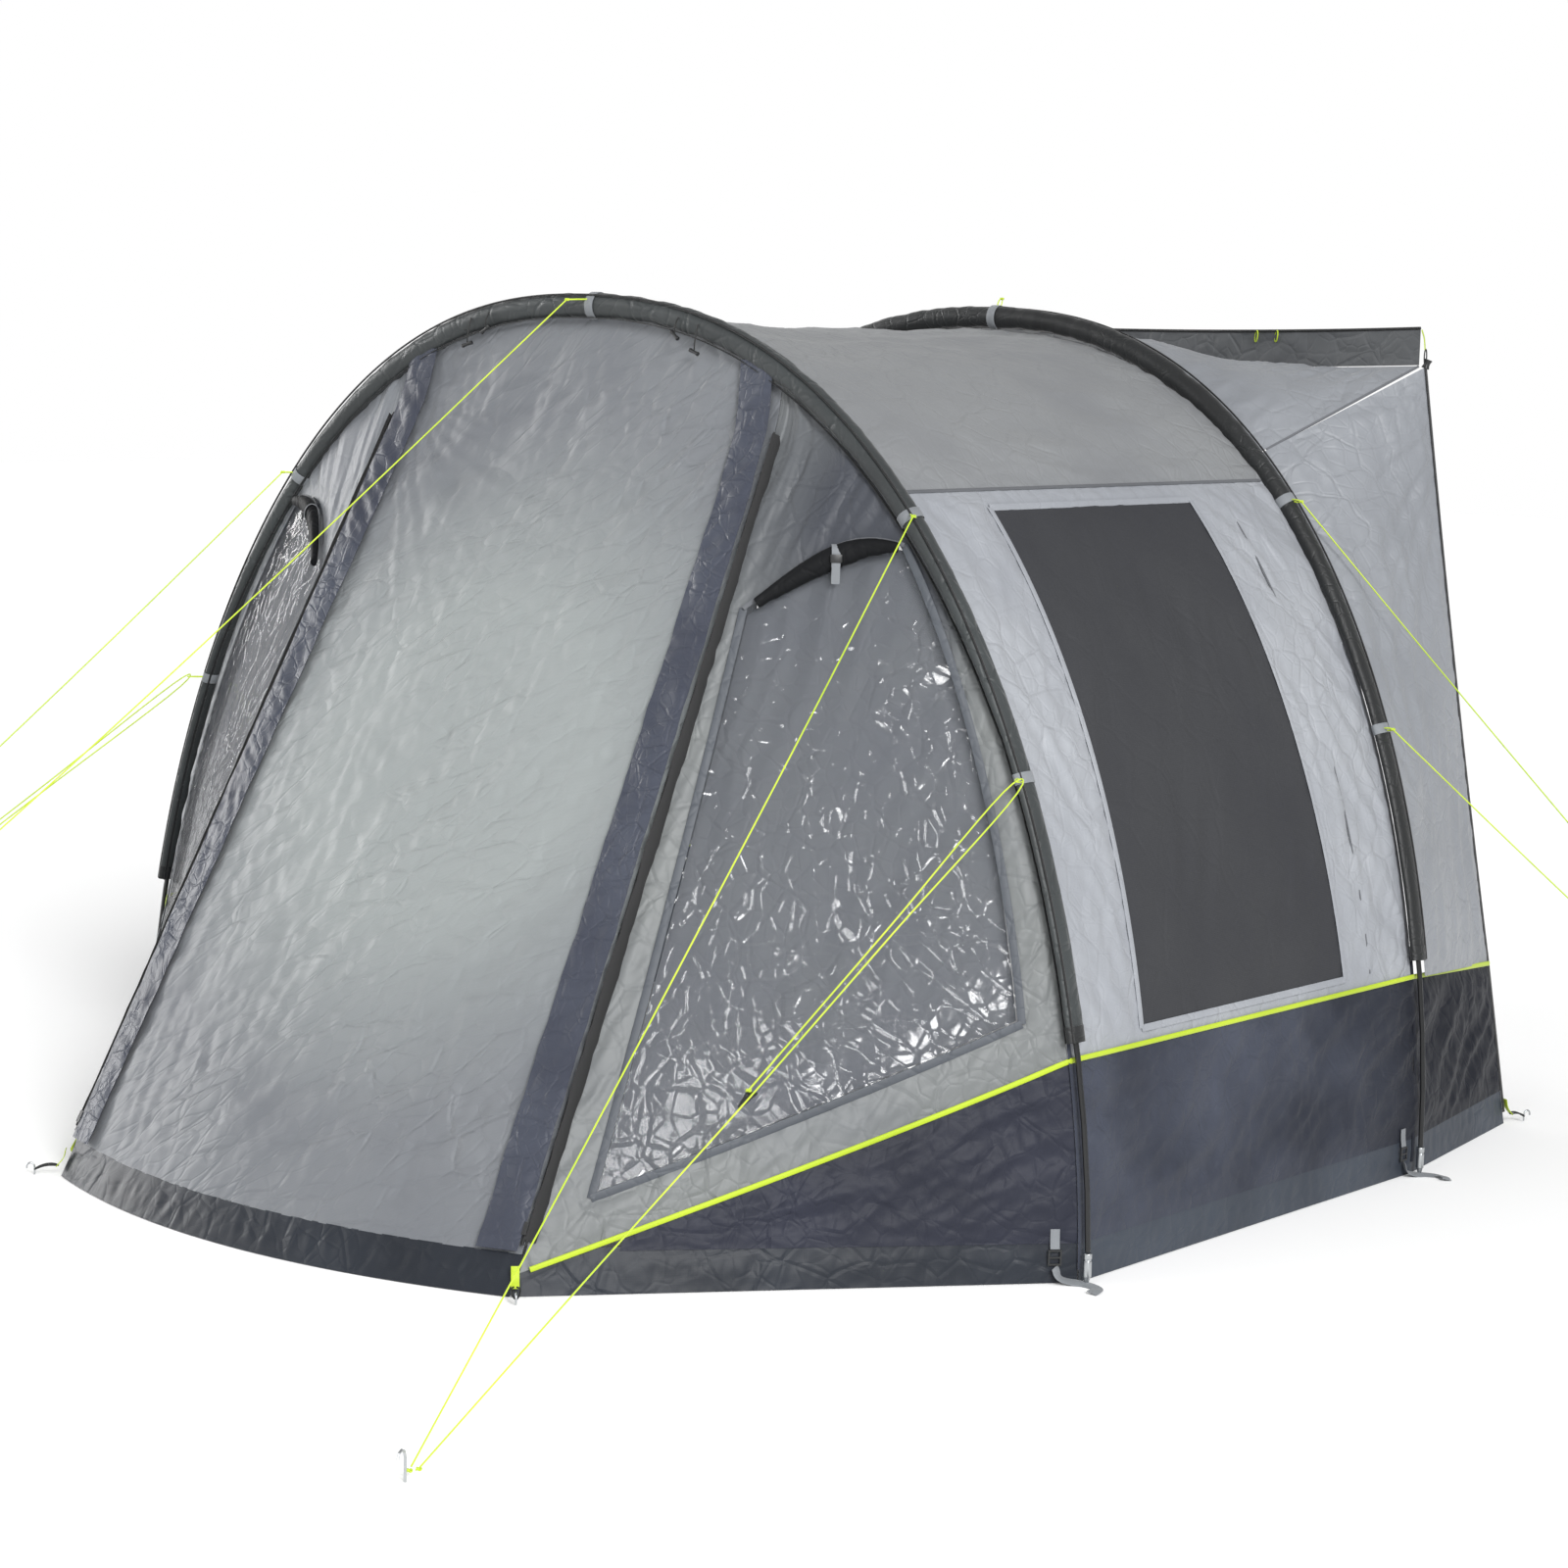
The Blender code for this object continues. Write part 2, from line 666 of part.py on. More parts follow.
def build_roof(materials, collection):
    points = arch_profile(ROOF_SEAM_HEIGHT, 12, SKIN_INSET)

    def place(column, back):
        x, height = points[column]
        point = front_arch_point(x, height).lerp(rear_arch_point(x, height), back)
        flatness = (height - ROOF_SEAM_HEIGHT) / (ARCH_HEIGHT - ROOF_SEAM_HEIGHT)
        point.z -= ROOF_SAG * flatness * 4 * back * (1 - back)
        return point

    fabric_panel(
        "roof", range(len(points)), [0, 0.5, 1], place, materials["light fabric"], collection
    )


def tunnel_top(across, below=0.0):
    """The top edge of the tunnel's open end, from -1 at its left corner to 1 at its right."""
    height = TUNNEL_TOP_HEIGHT - TUNNEL_TOP_SAG * (1 - across**2)
    return Vector((across * TUNNEL_TOP_HALF_WIDTH, TUNNEL_Y, height - below))


def build_tunnel(materials, collection):
    profile = arch_profile(TUNNEL_HIP_HEIGHT, 10)
    reach = profile[0][0]

    def roof_point(column, back):
        x, height = profile[column]
        start = behind_rear_sleeve(rear_arch_point(x, height))
        return start.lerp(tunnel_top(x / reach, VEHICLE_STRIP_HEIGHT), back)

    fabric_panel(
        "tunnel_roof", range(len(profile)), [0, 0.5, 1], roof_point,
        materials["light fabric"], collection,
    )
    for side_name, side in SIDES.items():

        def side_place(across, rise, side=side):
            low = PIPING_HEIGHT + PIPING_SEAM
            height = low + (TUNNEL_HIP_HEIGHT - low) * rise
            start = behind_rear_sleeve(rear_arch_point(side * half_width(height), height))
            low = PIPING_TUNNEL_HEIGHT + PIPING_SEAM
            high = TUNNEL_TOP_HEIGHT - VEHICLE_STRIP_HEIGHT
            return start.lerp(tunnel_edge(side, low + (high - low) * rise), across)

        fabric_panel(
            f"tunnel_side_{side_name}", [0, 0.5, 1], spread(0, 1, 8), side_place,
            materials["light fabric"], collection,
        )
    fabric_panel(
        "vehicle_strip", spread(-1, 1, 12), [VEHICLE_STRIP_HEIGHT - FABRIC * 2, 0], tunnel_top,
        materials["dark fabric"], collection,
    )
    bead = [tunnel_top(across, -BEADING_RADIUS) for across in spread(-1, 1, 12)]
    tube("vehicle_beading", bead, BEADING_RADIUS, materials["zip"], collection)


def build_buckle(name, base, along, outward, materials, collection):
    """A ladder-lock buckle that hangs from its top bar against the foot of the wall."""
    low = -BUCKLE_HEIGHT
    slot = (BUCKLE_HEIGHT - 3 * BUCKLE_BAR) / 2
    inner = BUCKLE_WIDTH - 2 * BUCKLE_BAR
    first = low + BUCKLE_BAR
    second = first + slot + BUCKLE_BAR
    outlines = [
        rectangle(BUCKLE_WIDTH, low, 0),
        rectangle(inner, first, first + slot),
        rectangle(inner, second, second + slot),
    ]
    buckle = flat_plate(name, outlines, PLATE_THICKNESS, materials["plastic"], collection)
    buckle.location = base
    turn = Matrix((along, Vector((0, 0, 1)), outward)).transposed()
    buckle.rotation_euler = turn.to_euler()


def build_buckles(materials, collection):
    for side_name, side in SIDES.items():
        height = BUCKLE_TOP_HEIGHT
        for name, leg, line in (
            ("front", front_leg, porch_corner_line),
            ("rear", rear_leg, front_leg),
        ):
            base = leg(side, height)
            along = (base - line(side, height)).normalized()
            along.z = 0
            along.normalize()
            outward = Vector((along.y, -along.x, 0)) * side
            spot = base - along * BUCKLE_FROM_POLE + outward * BUCKLE_OUT
            build_buckle(
                f"{name}_foot_buckle_{side_name}", spot, along * side, outward,
                materials, collection,
            )


def build_guy_lines(materials, collection):
    routes = {
        "guy_line_apex": (APEX_ROUTE, 1),
        "guy_line_front_upper_right": (FRONT_UPPER_ROUTE, 1),
        "guy_line_front_upper_left": (FRONT_UPPER_ROUTE, -1),
        "guy_line_front_lower_right": (FRONT_LOWER_ROUTE, 1),
        "guy_line_front_lower_left": (FRONT_LOWER_ROUTE, -1),
        "guy_line_rear_upper_right": (REAR_UPPER_ROUTE, 1),
        "guy_line_rear_lower_right": (REAR_LOWER_ROUTE, 1),
    }
    for name, (route, side) in routes.items():
        samples = 11 if route is not FRONT_LOWER_ROUTE else 33
        points = [Vector((side * p.x, p.y, p.z)) for p in smooth_route(route, samples)]
        tube(name, points, GUY_RADIUS, materials["lime"], collection)

    for name, route, side in (
        ("guy_peg_apex", APEX_ROUTE, 1),
        ("guy_peg_front_right", FRONT_UPPER_ROUTE, 1),
        ("guy_peg_front_left", FRONT_UPPER_ROUTE, -1),
        ("guy_peg_rear_right", REAR_UPPER_ROUTE, 1),
    ):
        end = Vector(route[-1])
        before = Vector(route[-2])
        run = Vector((side * (end.x - before.x), end.y - before.y, 0)).normalized()
        base = Vector((side * end.x, end.y, 0)) + run * (PEG_RADIUS + GUY_RADIUS + PEG_STAND_OFF)
        up = Vector((0, 0, PEG_HEIGHT))
        back = run * PEG_HOOK
        points = [base, base + up * 0.7, base + up * 0.93 + back * 0.3, base + up + back,
                  base + up * 0.93 + back * 1.7, base + up * 0.75 + back * 2]
        tube(name, points, PEG_RADIUS, materials["steel"], collection)

    for side_name, side in SIDES.items():
        name = f"guy_tensioner_{side_name}"
        half = TENSIONER_WIDTH / 2
        outlines = [
            [(-half, 0), (half, 0), (half * 0.3, TENSIONER_LENGTH), (-half * 0.3, TENSIONER_LENGTH)],
            polygon(half * 0.5, TENSIONER_MARGIN, TENSIONER_HOLE_RADIUS, 8),
            polygon(-half * 0.5, TENSIONER_MARGIN, TENSIONER_HOLE_RADIUS, 8),
            polygon(0, TENSIONER_LENGTH - TENSIONER_TIP_MARGIN, TENSIONER_TIP_HOLE_RADIUS, 8),
        ]
        plate = flat_plate(name, outlines, PLATE_THICKNESS, materials["plastic"], collection)
        start = Vector(FRONT_LOWER_ROUTE[0])
        lower = Vector(FRONT_LOWER_ROUTE[6])
        upper = Vector(FRONT_LOWER_ROUTE[5])
        run = (lower - upper).normalized()
        across = (lower - start) - run * (lower - start).dot(run)
        across.normalize()
        normal = across.cross(run)
        middle = (start + lower) / 2
        middle += run * (start - middle).dot(run)
        spot = middle + normal * (PLATE_THICKNESS / 2 + GUY_RADIUS + TENSIONER_CLEARANCE)
        for vector in (spot, across, run, normal):
            vector.x *= side
        plate.location = spot
        if side < 0:
            across = -across
        plate.rotation_euler = Matrix((across, run, across.cross(run))).transposed().to_euler()


def main():
    clear_scene()
    collection = make_collection("drive_away_awning")
    guides = make_collection("awning_cutters")
    materials = {
        "light fabric": make_material("light grey polyester", (0.28, 0.29, 0.31), 0.62),
        "dark fabric": make_material("slate polyester", (0.055, 0.060, 0.078), 0.60),
        "mud flap": make_material("grey polythene", (0.085, 0.090, 0.102), 0.50),
        "mesh": make_material("charcoal insect mesh", (0.050, 0.050, 0.053), 0.80),
        "clear window": make_material("clear PVC over curtain", (0.16, 0.17, 0.18), 0.15),
        "sleeve": make_material("black sleeve polyester", (0.012, 0.012, 0.014), 0.65),
        "pole": make_material("black fibreglass", (0.015, 0.015, 0.016), 0.35),
        "steel": make_material("zinc-plated steel", (0.60, 0.61, 0.62), 0.35, 1.0),
        "lime": make_material("lime webbing and cord", (0.55, 0.72, 0.02), 0.55),
        "zip": make_material("black nylon zip", (0.010, 0.010, 0.011), 0.50),
        "plastic": make_material("black acetal buckle", (0.014, 0.014, 0.015), 0.45),
    }
    build_arch("front", FRONT_ARCH_Y, FRONT_LEAN, materials, collection, guides)
    build_arch("rear", REAR_ARCH_Y, REAR_LEAN, materials, collection, guides)
    build_front(materials, collection)
    for side_name, side in SIDES.items():
        slider, pull = build_zip(side_name, side, materials, collection)
        join_pull(slider, pull, guides)
        build_porch_side(side_name, side, materials, collection)
        build_side(side_name, side, materials, collection)
        build_piping(side_name, side, materials, collection)
    build_roof(materials, collection)
    build_tunnel(materials, collection)
    build_buckles(materials, collection)
    build_guy_lines(materials, collection)


main()
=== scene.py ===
import math
import bpy
import numpy as np
from mathutils import Matrix, Vector


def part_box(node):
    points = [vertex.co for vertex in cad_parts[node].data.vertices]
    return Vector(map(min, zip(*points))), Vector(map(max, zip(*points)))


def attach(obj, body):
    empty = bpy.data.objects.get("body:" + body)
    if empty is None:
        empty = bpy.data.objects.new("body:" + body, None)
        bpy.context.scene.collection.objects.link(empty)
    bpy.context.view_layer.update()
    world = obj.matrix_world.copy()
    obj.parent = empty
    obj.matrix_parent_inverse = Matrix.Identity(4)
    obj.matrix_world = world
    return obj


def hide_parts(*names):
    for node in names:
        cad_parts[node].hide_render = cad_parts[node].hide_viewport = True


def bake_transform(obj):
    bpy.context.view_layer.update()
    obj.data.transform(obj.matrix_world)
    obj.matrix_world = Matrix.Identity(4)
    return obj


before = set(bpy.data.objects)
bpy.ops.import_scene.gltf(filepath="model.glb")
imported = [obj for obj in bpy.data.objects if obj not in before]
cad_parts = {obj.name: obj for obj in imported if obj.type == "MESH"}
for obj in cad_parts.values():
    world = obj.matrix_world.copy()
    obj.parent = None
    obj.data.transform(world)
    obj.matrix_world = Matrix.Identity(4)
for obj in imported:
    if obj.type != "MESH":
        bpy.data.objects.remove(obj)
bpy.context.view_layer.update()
bpy.ops.object.select_all(action="DESELECT")
print("frame loaded,", len(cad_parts), "nodes")


# ---- camera, floor and light

camera = {"place": (5.70, -6.606, 2.02), "azimuth": 39.7, "down": 7.49, "roll": 1.51,
          "lens": 81.7, "shift": (0.0044, 0.0019)}
studio = {"floorSize": 60.0, "floorDrop": 0.0006, "floorColour": "#ffffff", "skyLight": 0.46,
          "keyFrom": (0.75, -0.45, 0.48), "keyStrength": 3.0,
          "fillFrom": (-0.60, -0.70, 0.40), "fillStrength": 0.50,
          "sideFrom": (-0.97, -0.10, 0.20), "sideStrength": 1.5, "softness": 22.0,
          "glintPower": 30.0, "glintSize": 0.35, "glintAim": (0.9, -1.0, 0.8),
          "glintPlaces": ((4.6, -1.2, 3.2), (4.4, -3.4, 1.6), (2.6, -5.6, 3.8))}


def toLinear(hexColour):
    parts = [int(hexColour[i:i + 2], 16) / 255 for i in (1, 3, 5)]
    return tuple(p / 12.92 if p <= 0.04045 else ((p + 0.055) / 1.055) ** 2.4
                 for p in parts) + (1.0,)


def makeCamera():
    azimuth, down, roll = (math.radians(camera[key]) for key in ("azimuth", "down", "roll"))
    forward = Vector((-math.sin(azimuth) * math.cos(down), math.cos(azimuth) * math.cos(down),
                      -math.sin(down)))
    level = Vector((math.cos(azimuth), math.sin(azimuth), 0))
    upright = level.cross(forward)
    right = level * math.cos(roll) + upright * math.sin(roll)
    up = upright * math.cos(roll) - level * math.sin(roll)
    bpy.ops.object.camera_add()
    made = bpy.context.object
    made.name = "viewCamera"
    turn = Matrix((right, up, -forward)).transposed().to_4x4()
    made.matrix_world = Matrix.Translation(camera["place"]) @ turn
    made.data.lens = camera["lens"]
    made.data.shift_x, made.data.shift_y = camera["shift"]
    made.data.clip_end = 200
    bpy.context.scene.camera = made


def addSun(name, fromWay, strength):
    # a wide, far soft box: its light is the same all over the floor
    bpy.ops.object.light_add(type="SUN", location=Vector(fromWay) * 8)
    light = bpy.context.object
    light.name = name
    light.data.energy = strength
    light.data.angle = math.radians(studio["softness"])
    light.rotation_euler = Vector(fromWay).to_track_quat("Z", "Y").to_euler()


def addGlint(name, place, aim):
    # a small bright lamp that glossy films mirror
    bpy.ops.object.light_add(type="AREA", location=place)
    light = bpy.context.object
    light.name = name
    light.data.size = studio["glintSize"]
    light.data.energy = studio["glintPower"]
    light.rotation_euler = (Vector(place) - Vector(aim)).to_track_quat("Z", "Y").to_euler()


def makeStage():
    bpy.ops.mesh.primitive_plane_add(size=studio["floorSize"],
                                     location=(0, 0, -studio["floorDrop"]))
    floor = bpy.context.object
    floor.name = "studioFloor"
    coat = bpy.data.materials.new("matt white studio floor")
    coat.use_nodes = True
    shader = coat.node_tree.nodes["Principled BSDF"]
    shader.inputs["Base Color"].default_value = toLinear(studio["floorColour"])
    shader.inputs["Roughness"].default_value = 0.9
    shader.inputs["Specular IOR Level"].default_value = 0.1
    floor.data.materials.append(coat)
    addSun("keyLight", studio["keyFrom"], studio["keyStrength"])
    addSun("fillLight", studio["fillFrom"], studio["fillStrength"])
    addSun("sideLight", studio["sideFrom"], studio["sideStrength"])
    for number, place in enumerate(studio["glintPlaces"]):
        addGlint(f"glintLight{number}", place, studio["glintAim"])
    world = bpy.data.worlds.new("softWhiteSky")
    world.use_nodes = True
    bpy.context.scene.world = world
    tree = world.node_tree
    sky = tree.nodes["Background"]
    sky.inputs["Color"].default_value = (1, 1, 1, 1)
    sky.inputs["Strength"].default_value = studio["skyLight"]
    paper = tree.nodes.new("ShaderNodeBackground")      # what the camera sees behind the floor
    paper.inputs["Color"].default_value = (1, 1, 1, 1)
    rays = tree.nodes.new("ShaderNodeLightPath")
    choose = tree.nodes.new("ShaderNodeMixShader")
    tree.links.new(rays.outputs["Is Camera Ray"], choose.inputs["Fac"])
    tree.links.new(sky.outputs["Background"], choose.inputs[1])
    tree.links.new(paper.outputs["Background"], choose.inputs[2])
    tree.links.new(choose.outputs["Shader"], tree.nodes["World Output"].inputs["Surface"])
    bpy.context.scene.view_settings.view_transform = "Standard"


makeCamera()
makeStage()
print("camera, floor and light are in")


# ---- materials

def addNode(material, kind, settings=None, links=None):
    node = material.node_tree.nodes.new(kind)
    for key, value in (settings or {}).items():
        if key in node.inputs:
            node.inputs[key].default_value = value
        else:
            setattr(node, key, value)
    for key, source in (links or {}).items():
        material.node_tree.links.new(source, node.inputs[key])
    return node


def newMaterial(name, **sockets):
    material = bpy.data.materials.new(name)
    material.use_nodes = True
    shader = material.node_tree.nodes["Principled BSDF"]
    for key, value in sockets.items():
        shader.inputs[key.replace("_", " ")].default_value = value
    return material, shader


def waveScale(spacing):
    return math.pi / (10 * spacing)                      # the Wave node repeats every pi / 10 units


def creaseLines(material, place, facet, patches):
    # straight-sided facets as in crumpled film or coated cloth, with fine lines where they meet
    wander = addNode(material, "ShaderNodeTexNoise", {"Scale": 0.35 / facet, "Detail": 2.0},
                     {"Vector": place})
    bent = addNode(material, "ShaderNodeVectorMath", {"operation": "MULTIPLY_ADD"},
                   {0: wander.outputs["Color"], 2: place})
    bent.inputs[1].default_value = (facet, facet, facet)
    heights = []
    for size, width in ((facet, 0.07), (facet * 0.46, 0.10)):
        cells = addNode(material, "ShaderNodeTexVoronoi",
                        {"feature": "DISTANCE_TO_EDGE", "Scale": 1 / size},
                        {"Vector": bent.outputs["Vector"]})
        heights.append(addNode(material, "ShaderNodeMapRange", {"From Max": width, "To Max": size},
                               {"Value": cells.outputs["Distance"]}).outputs["Result"])
    shown = addNode(material, "ShaderNodeMapRange",
                    {"From Min": 0.38, "From Max": 0.62, "To Min": 0.25}, {"Value": patches})
    both = addNode(material, "ShaderNodeMath", {"operation": "ADD"},
                   {0: heights[0], 1: heights[1]})
    soft = addNode(material, "ShaderNodeTexNoise",
                   {"Scale": 0.8 / facet, "Detail": 4.0, "Distortion": 0.8}, {"Vector": place})
    lines = addNode(material, "ShaderNodeMath", {"operation": "MULTIPLY"},
                    {0: both.outputs["Value"], 1: shown.outputs["Result"]})
    return addNode(material, "ShaderNodeMath", {"operation": "MULTIPLY_ADD"},
                   {0: soft.outputs["Fac"], 1: lines.outputs["Value"],
                    2: lines.outputs["Value"]})


def wovenCloth(name, colour, dark, rough, sheen, thread=0.0032, crumple=0.10, depth=0.014,
               patch=0.35, weave=0.10, paintedShading=None, shine=0.35, slant=None):
    # a plain weave of 0.2 mm threads, drawn at the spacing thread so that it shows; colour and
    # dark are the cloth in its light and dark patches, each patch metres across
    material, shader = newMaterial(name, Roughness=rough, Sheen_Weight=sheen, Sheen_Roughness=0.4,
                                   Specular_IOR_Level=shine)
    place = addNode(material, "ShaderNodeTexCoord")
    warp = addNode(material, "ShaderNodeTexWave",
                   {"Scale": waveScale(thread), "bands_direction": "X"},
                   {"Vector": place.outputs["UV"]})
    weft = addNode(material, "ShaderNodeTexWave",
                   {"Scale": waveScale(thread), "bands_direction": "Y"},
                   {"Vector": place.outputs["UV"]})
    threads = addNode(material, "ShaderNodeMath", {"operation": "MAXIMUM"},
                      {0: warp.outputs["Fac"], 1: weft.outputs["Fac"]})
    cloud = addNode(material, "ShaderNodeTexNoise", {"Scale": 1 / patch, "Detail": 5.0},
                    {"Vector": place.outputs["Object"]})
    lay = place.outputs["Object"]
    if slant:                                            # creases drawn out along a pull
        lay = addNode(material, "ShaderNodeMapping",
                      {"vector_type": "TEXTURE", "Rotation": (0, -slant, 0), "Scale": (3.4, 1, 1)},
                      {"Vector": lay}).outputs["Vector"]
    creases = creaseLines(material, lay, crumple, cloud.outputs["Fac"])
    shade = addNode(material, "ShaderNodeValToRGB", None, {"Fac": cloud.outputs["Fac"]})
    shade.color_ramp.elements[0].position = 0.32
    shade.color_ramp.elements[0].color = toLinear(dark)
    shade.color_ramp.elements[1].position = 0.62
    shade.color_ramp.elements[1].color = toLinear(colour)
    thin = addNode(material, "ShaderNodeMix", {"data_type": "RGBA", "blend_type": "MULTIPLY"})
    thin.inputs["Factor"].default_value = 0.10
    colour = shade.outputs["Color"]
    if paintedShading:                                           # painted shading: a ball of colour mixed in around a point, darker where it paints shade and paler where it paints light
        # x, y, z is the ball's middle and reach its size; deep is the colour painted there, painted
        # shade on the porch's right side and the side walls, painted light on the door
        (x, y, z), reach, deep = paintedShading
        centred = addNode(material, "ShaderNodeMapping",
                          {"Location": (-x / reach, -y / reach, -z / reach),
                           "Scale": (1 / reach, 1 / reach, 1 / reach)},
                          {"Vector": place.outputs["Object"]})
        ball = addNode(material, "ShaderNodeTexGradient", {"gradient_type": "SPHERICAL"},
                       {"Vector": centred.outputs["Vector"]})
        spread = addNode(material, "ShaderNodeMapRange", {"From Max": 0.55, "To Max": 1.0},
                         {"Value": ball.outputs["Fac"]})
        paintedShadingMix = addNode(material, "ShaderNodeMix", {"data_type": "RGBA", "blend_type": "MIX"},
                         {"Factor": spread.outputs["Result"]})
        material.node_tree.links.new(colour, paintedShadingMix.inputs[6])
        paintedShadingMix.inputs[7].default_value = toLinear(deep)
        colour = paintedShadingMix.outputs[2]
    material.node_tree.links.new(colour, thin.inputs[6])
    material.node_tree.links.new(threads.outputs["Value"], thin.inputs[7])
    material.node_tree.links.new(thin.outputs[2], shader.inputs["Base Color"])
    folds = addNode(material, "ShaderNodeBump", {"Strength": 1.0, "Distance": depth},
                    {"Height": creases.outputs["Value"]})
    grain = addNode(material, "ShaderNodeBump", {"Strength": weave, "Distance": 0.0004},
                    {"Height": threads.outputs["Value"], "Normal": folds.outputs["Normal"]})
    material.node_tree.links.new(grain.outputs["Normal"], shader.inputs["Normal"])
    return material


def hardFinish(name, colour, rough, grit=0.0008, depth=0.00008, metallic=0.0, **more):
    material, shader = newMaterial(name, Roughness=rough, Metallic=metallic, **more)
    place = addNode(material, "ShaderNodeTexCoord")
    grain = addNode(material, "ShaderNodeTexNoise", {"Scale": 1 / grit / 4, "Detail": 3.0},
                    {"Vector": place.outputs["Object"]})
    tone = addNode(material, "ShaderNodeValToRGB", None, {"Fac": grain.outputs["Fac"]})
    base = toLinear(colour)
    tone.color_ramp.elements[0].color = tuple(0.82 * c for c in base[:3]) + (1.0,)
    tone.color_ramp.elements[1].color = tuple(min(1.0, 1.12 * c) for c in base[:3]) + (1.0,)
    bump = addNode(material, "ShaderNodeBump", {"Strength": 0.4, "Distance": depth},
                   {"Height": grain.outputs["Fac"]})
    material.node_tree.links.new(tone.outputs["Color"], shader.inputs["Base Color"])
    material.node_tree.links.new(bump.outputs["Normal"], shader.inputs["Normal"])
    return material


def clearPvc(name, colour):
    # plasticised PVC film: see-through with a grey haze, white only where a crease mirrors a lamp
    material, shader = newMaterial(name, Roughness=0.08, IOR=1.53, Base_Color=toLinear(colour),
                                   Alpha=0.26, Specular_IOR_Level=0.36)
    place = addNode(material, "ShaderNodeTexCoord")
    cloud = addNode(material, "ShaderNodeTexNoise", {"Scale": 3.2, "Detail": 4.0},
                    {"Vector": place.outputs["Object"]})
    creases = creaseLines(material, place.outputs["Object"], 0.085, cloud.outputs["Fac"])
    bump = addNode(material, "ShaderNodeBump", {"Strength": 1.0, "Distance": 0.017},
                   {"Height": creases.outputs["Value"]})
    material.node_tree.links.new(bump.outputs["Normal"], shader.inputs["Normal"])
    return material


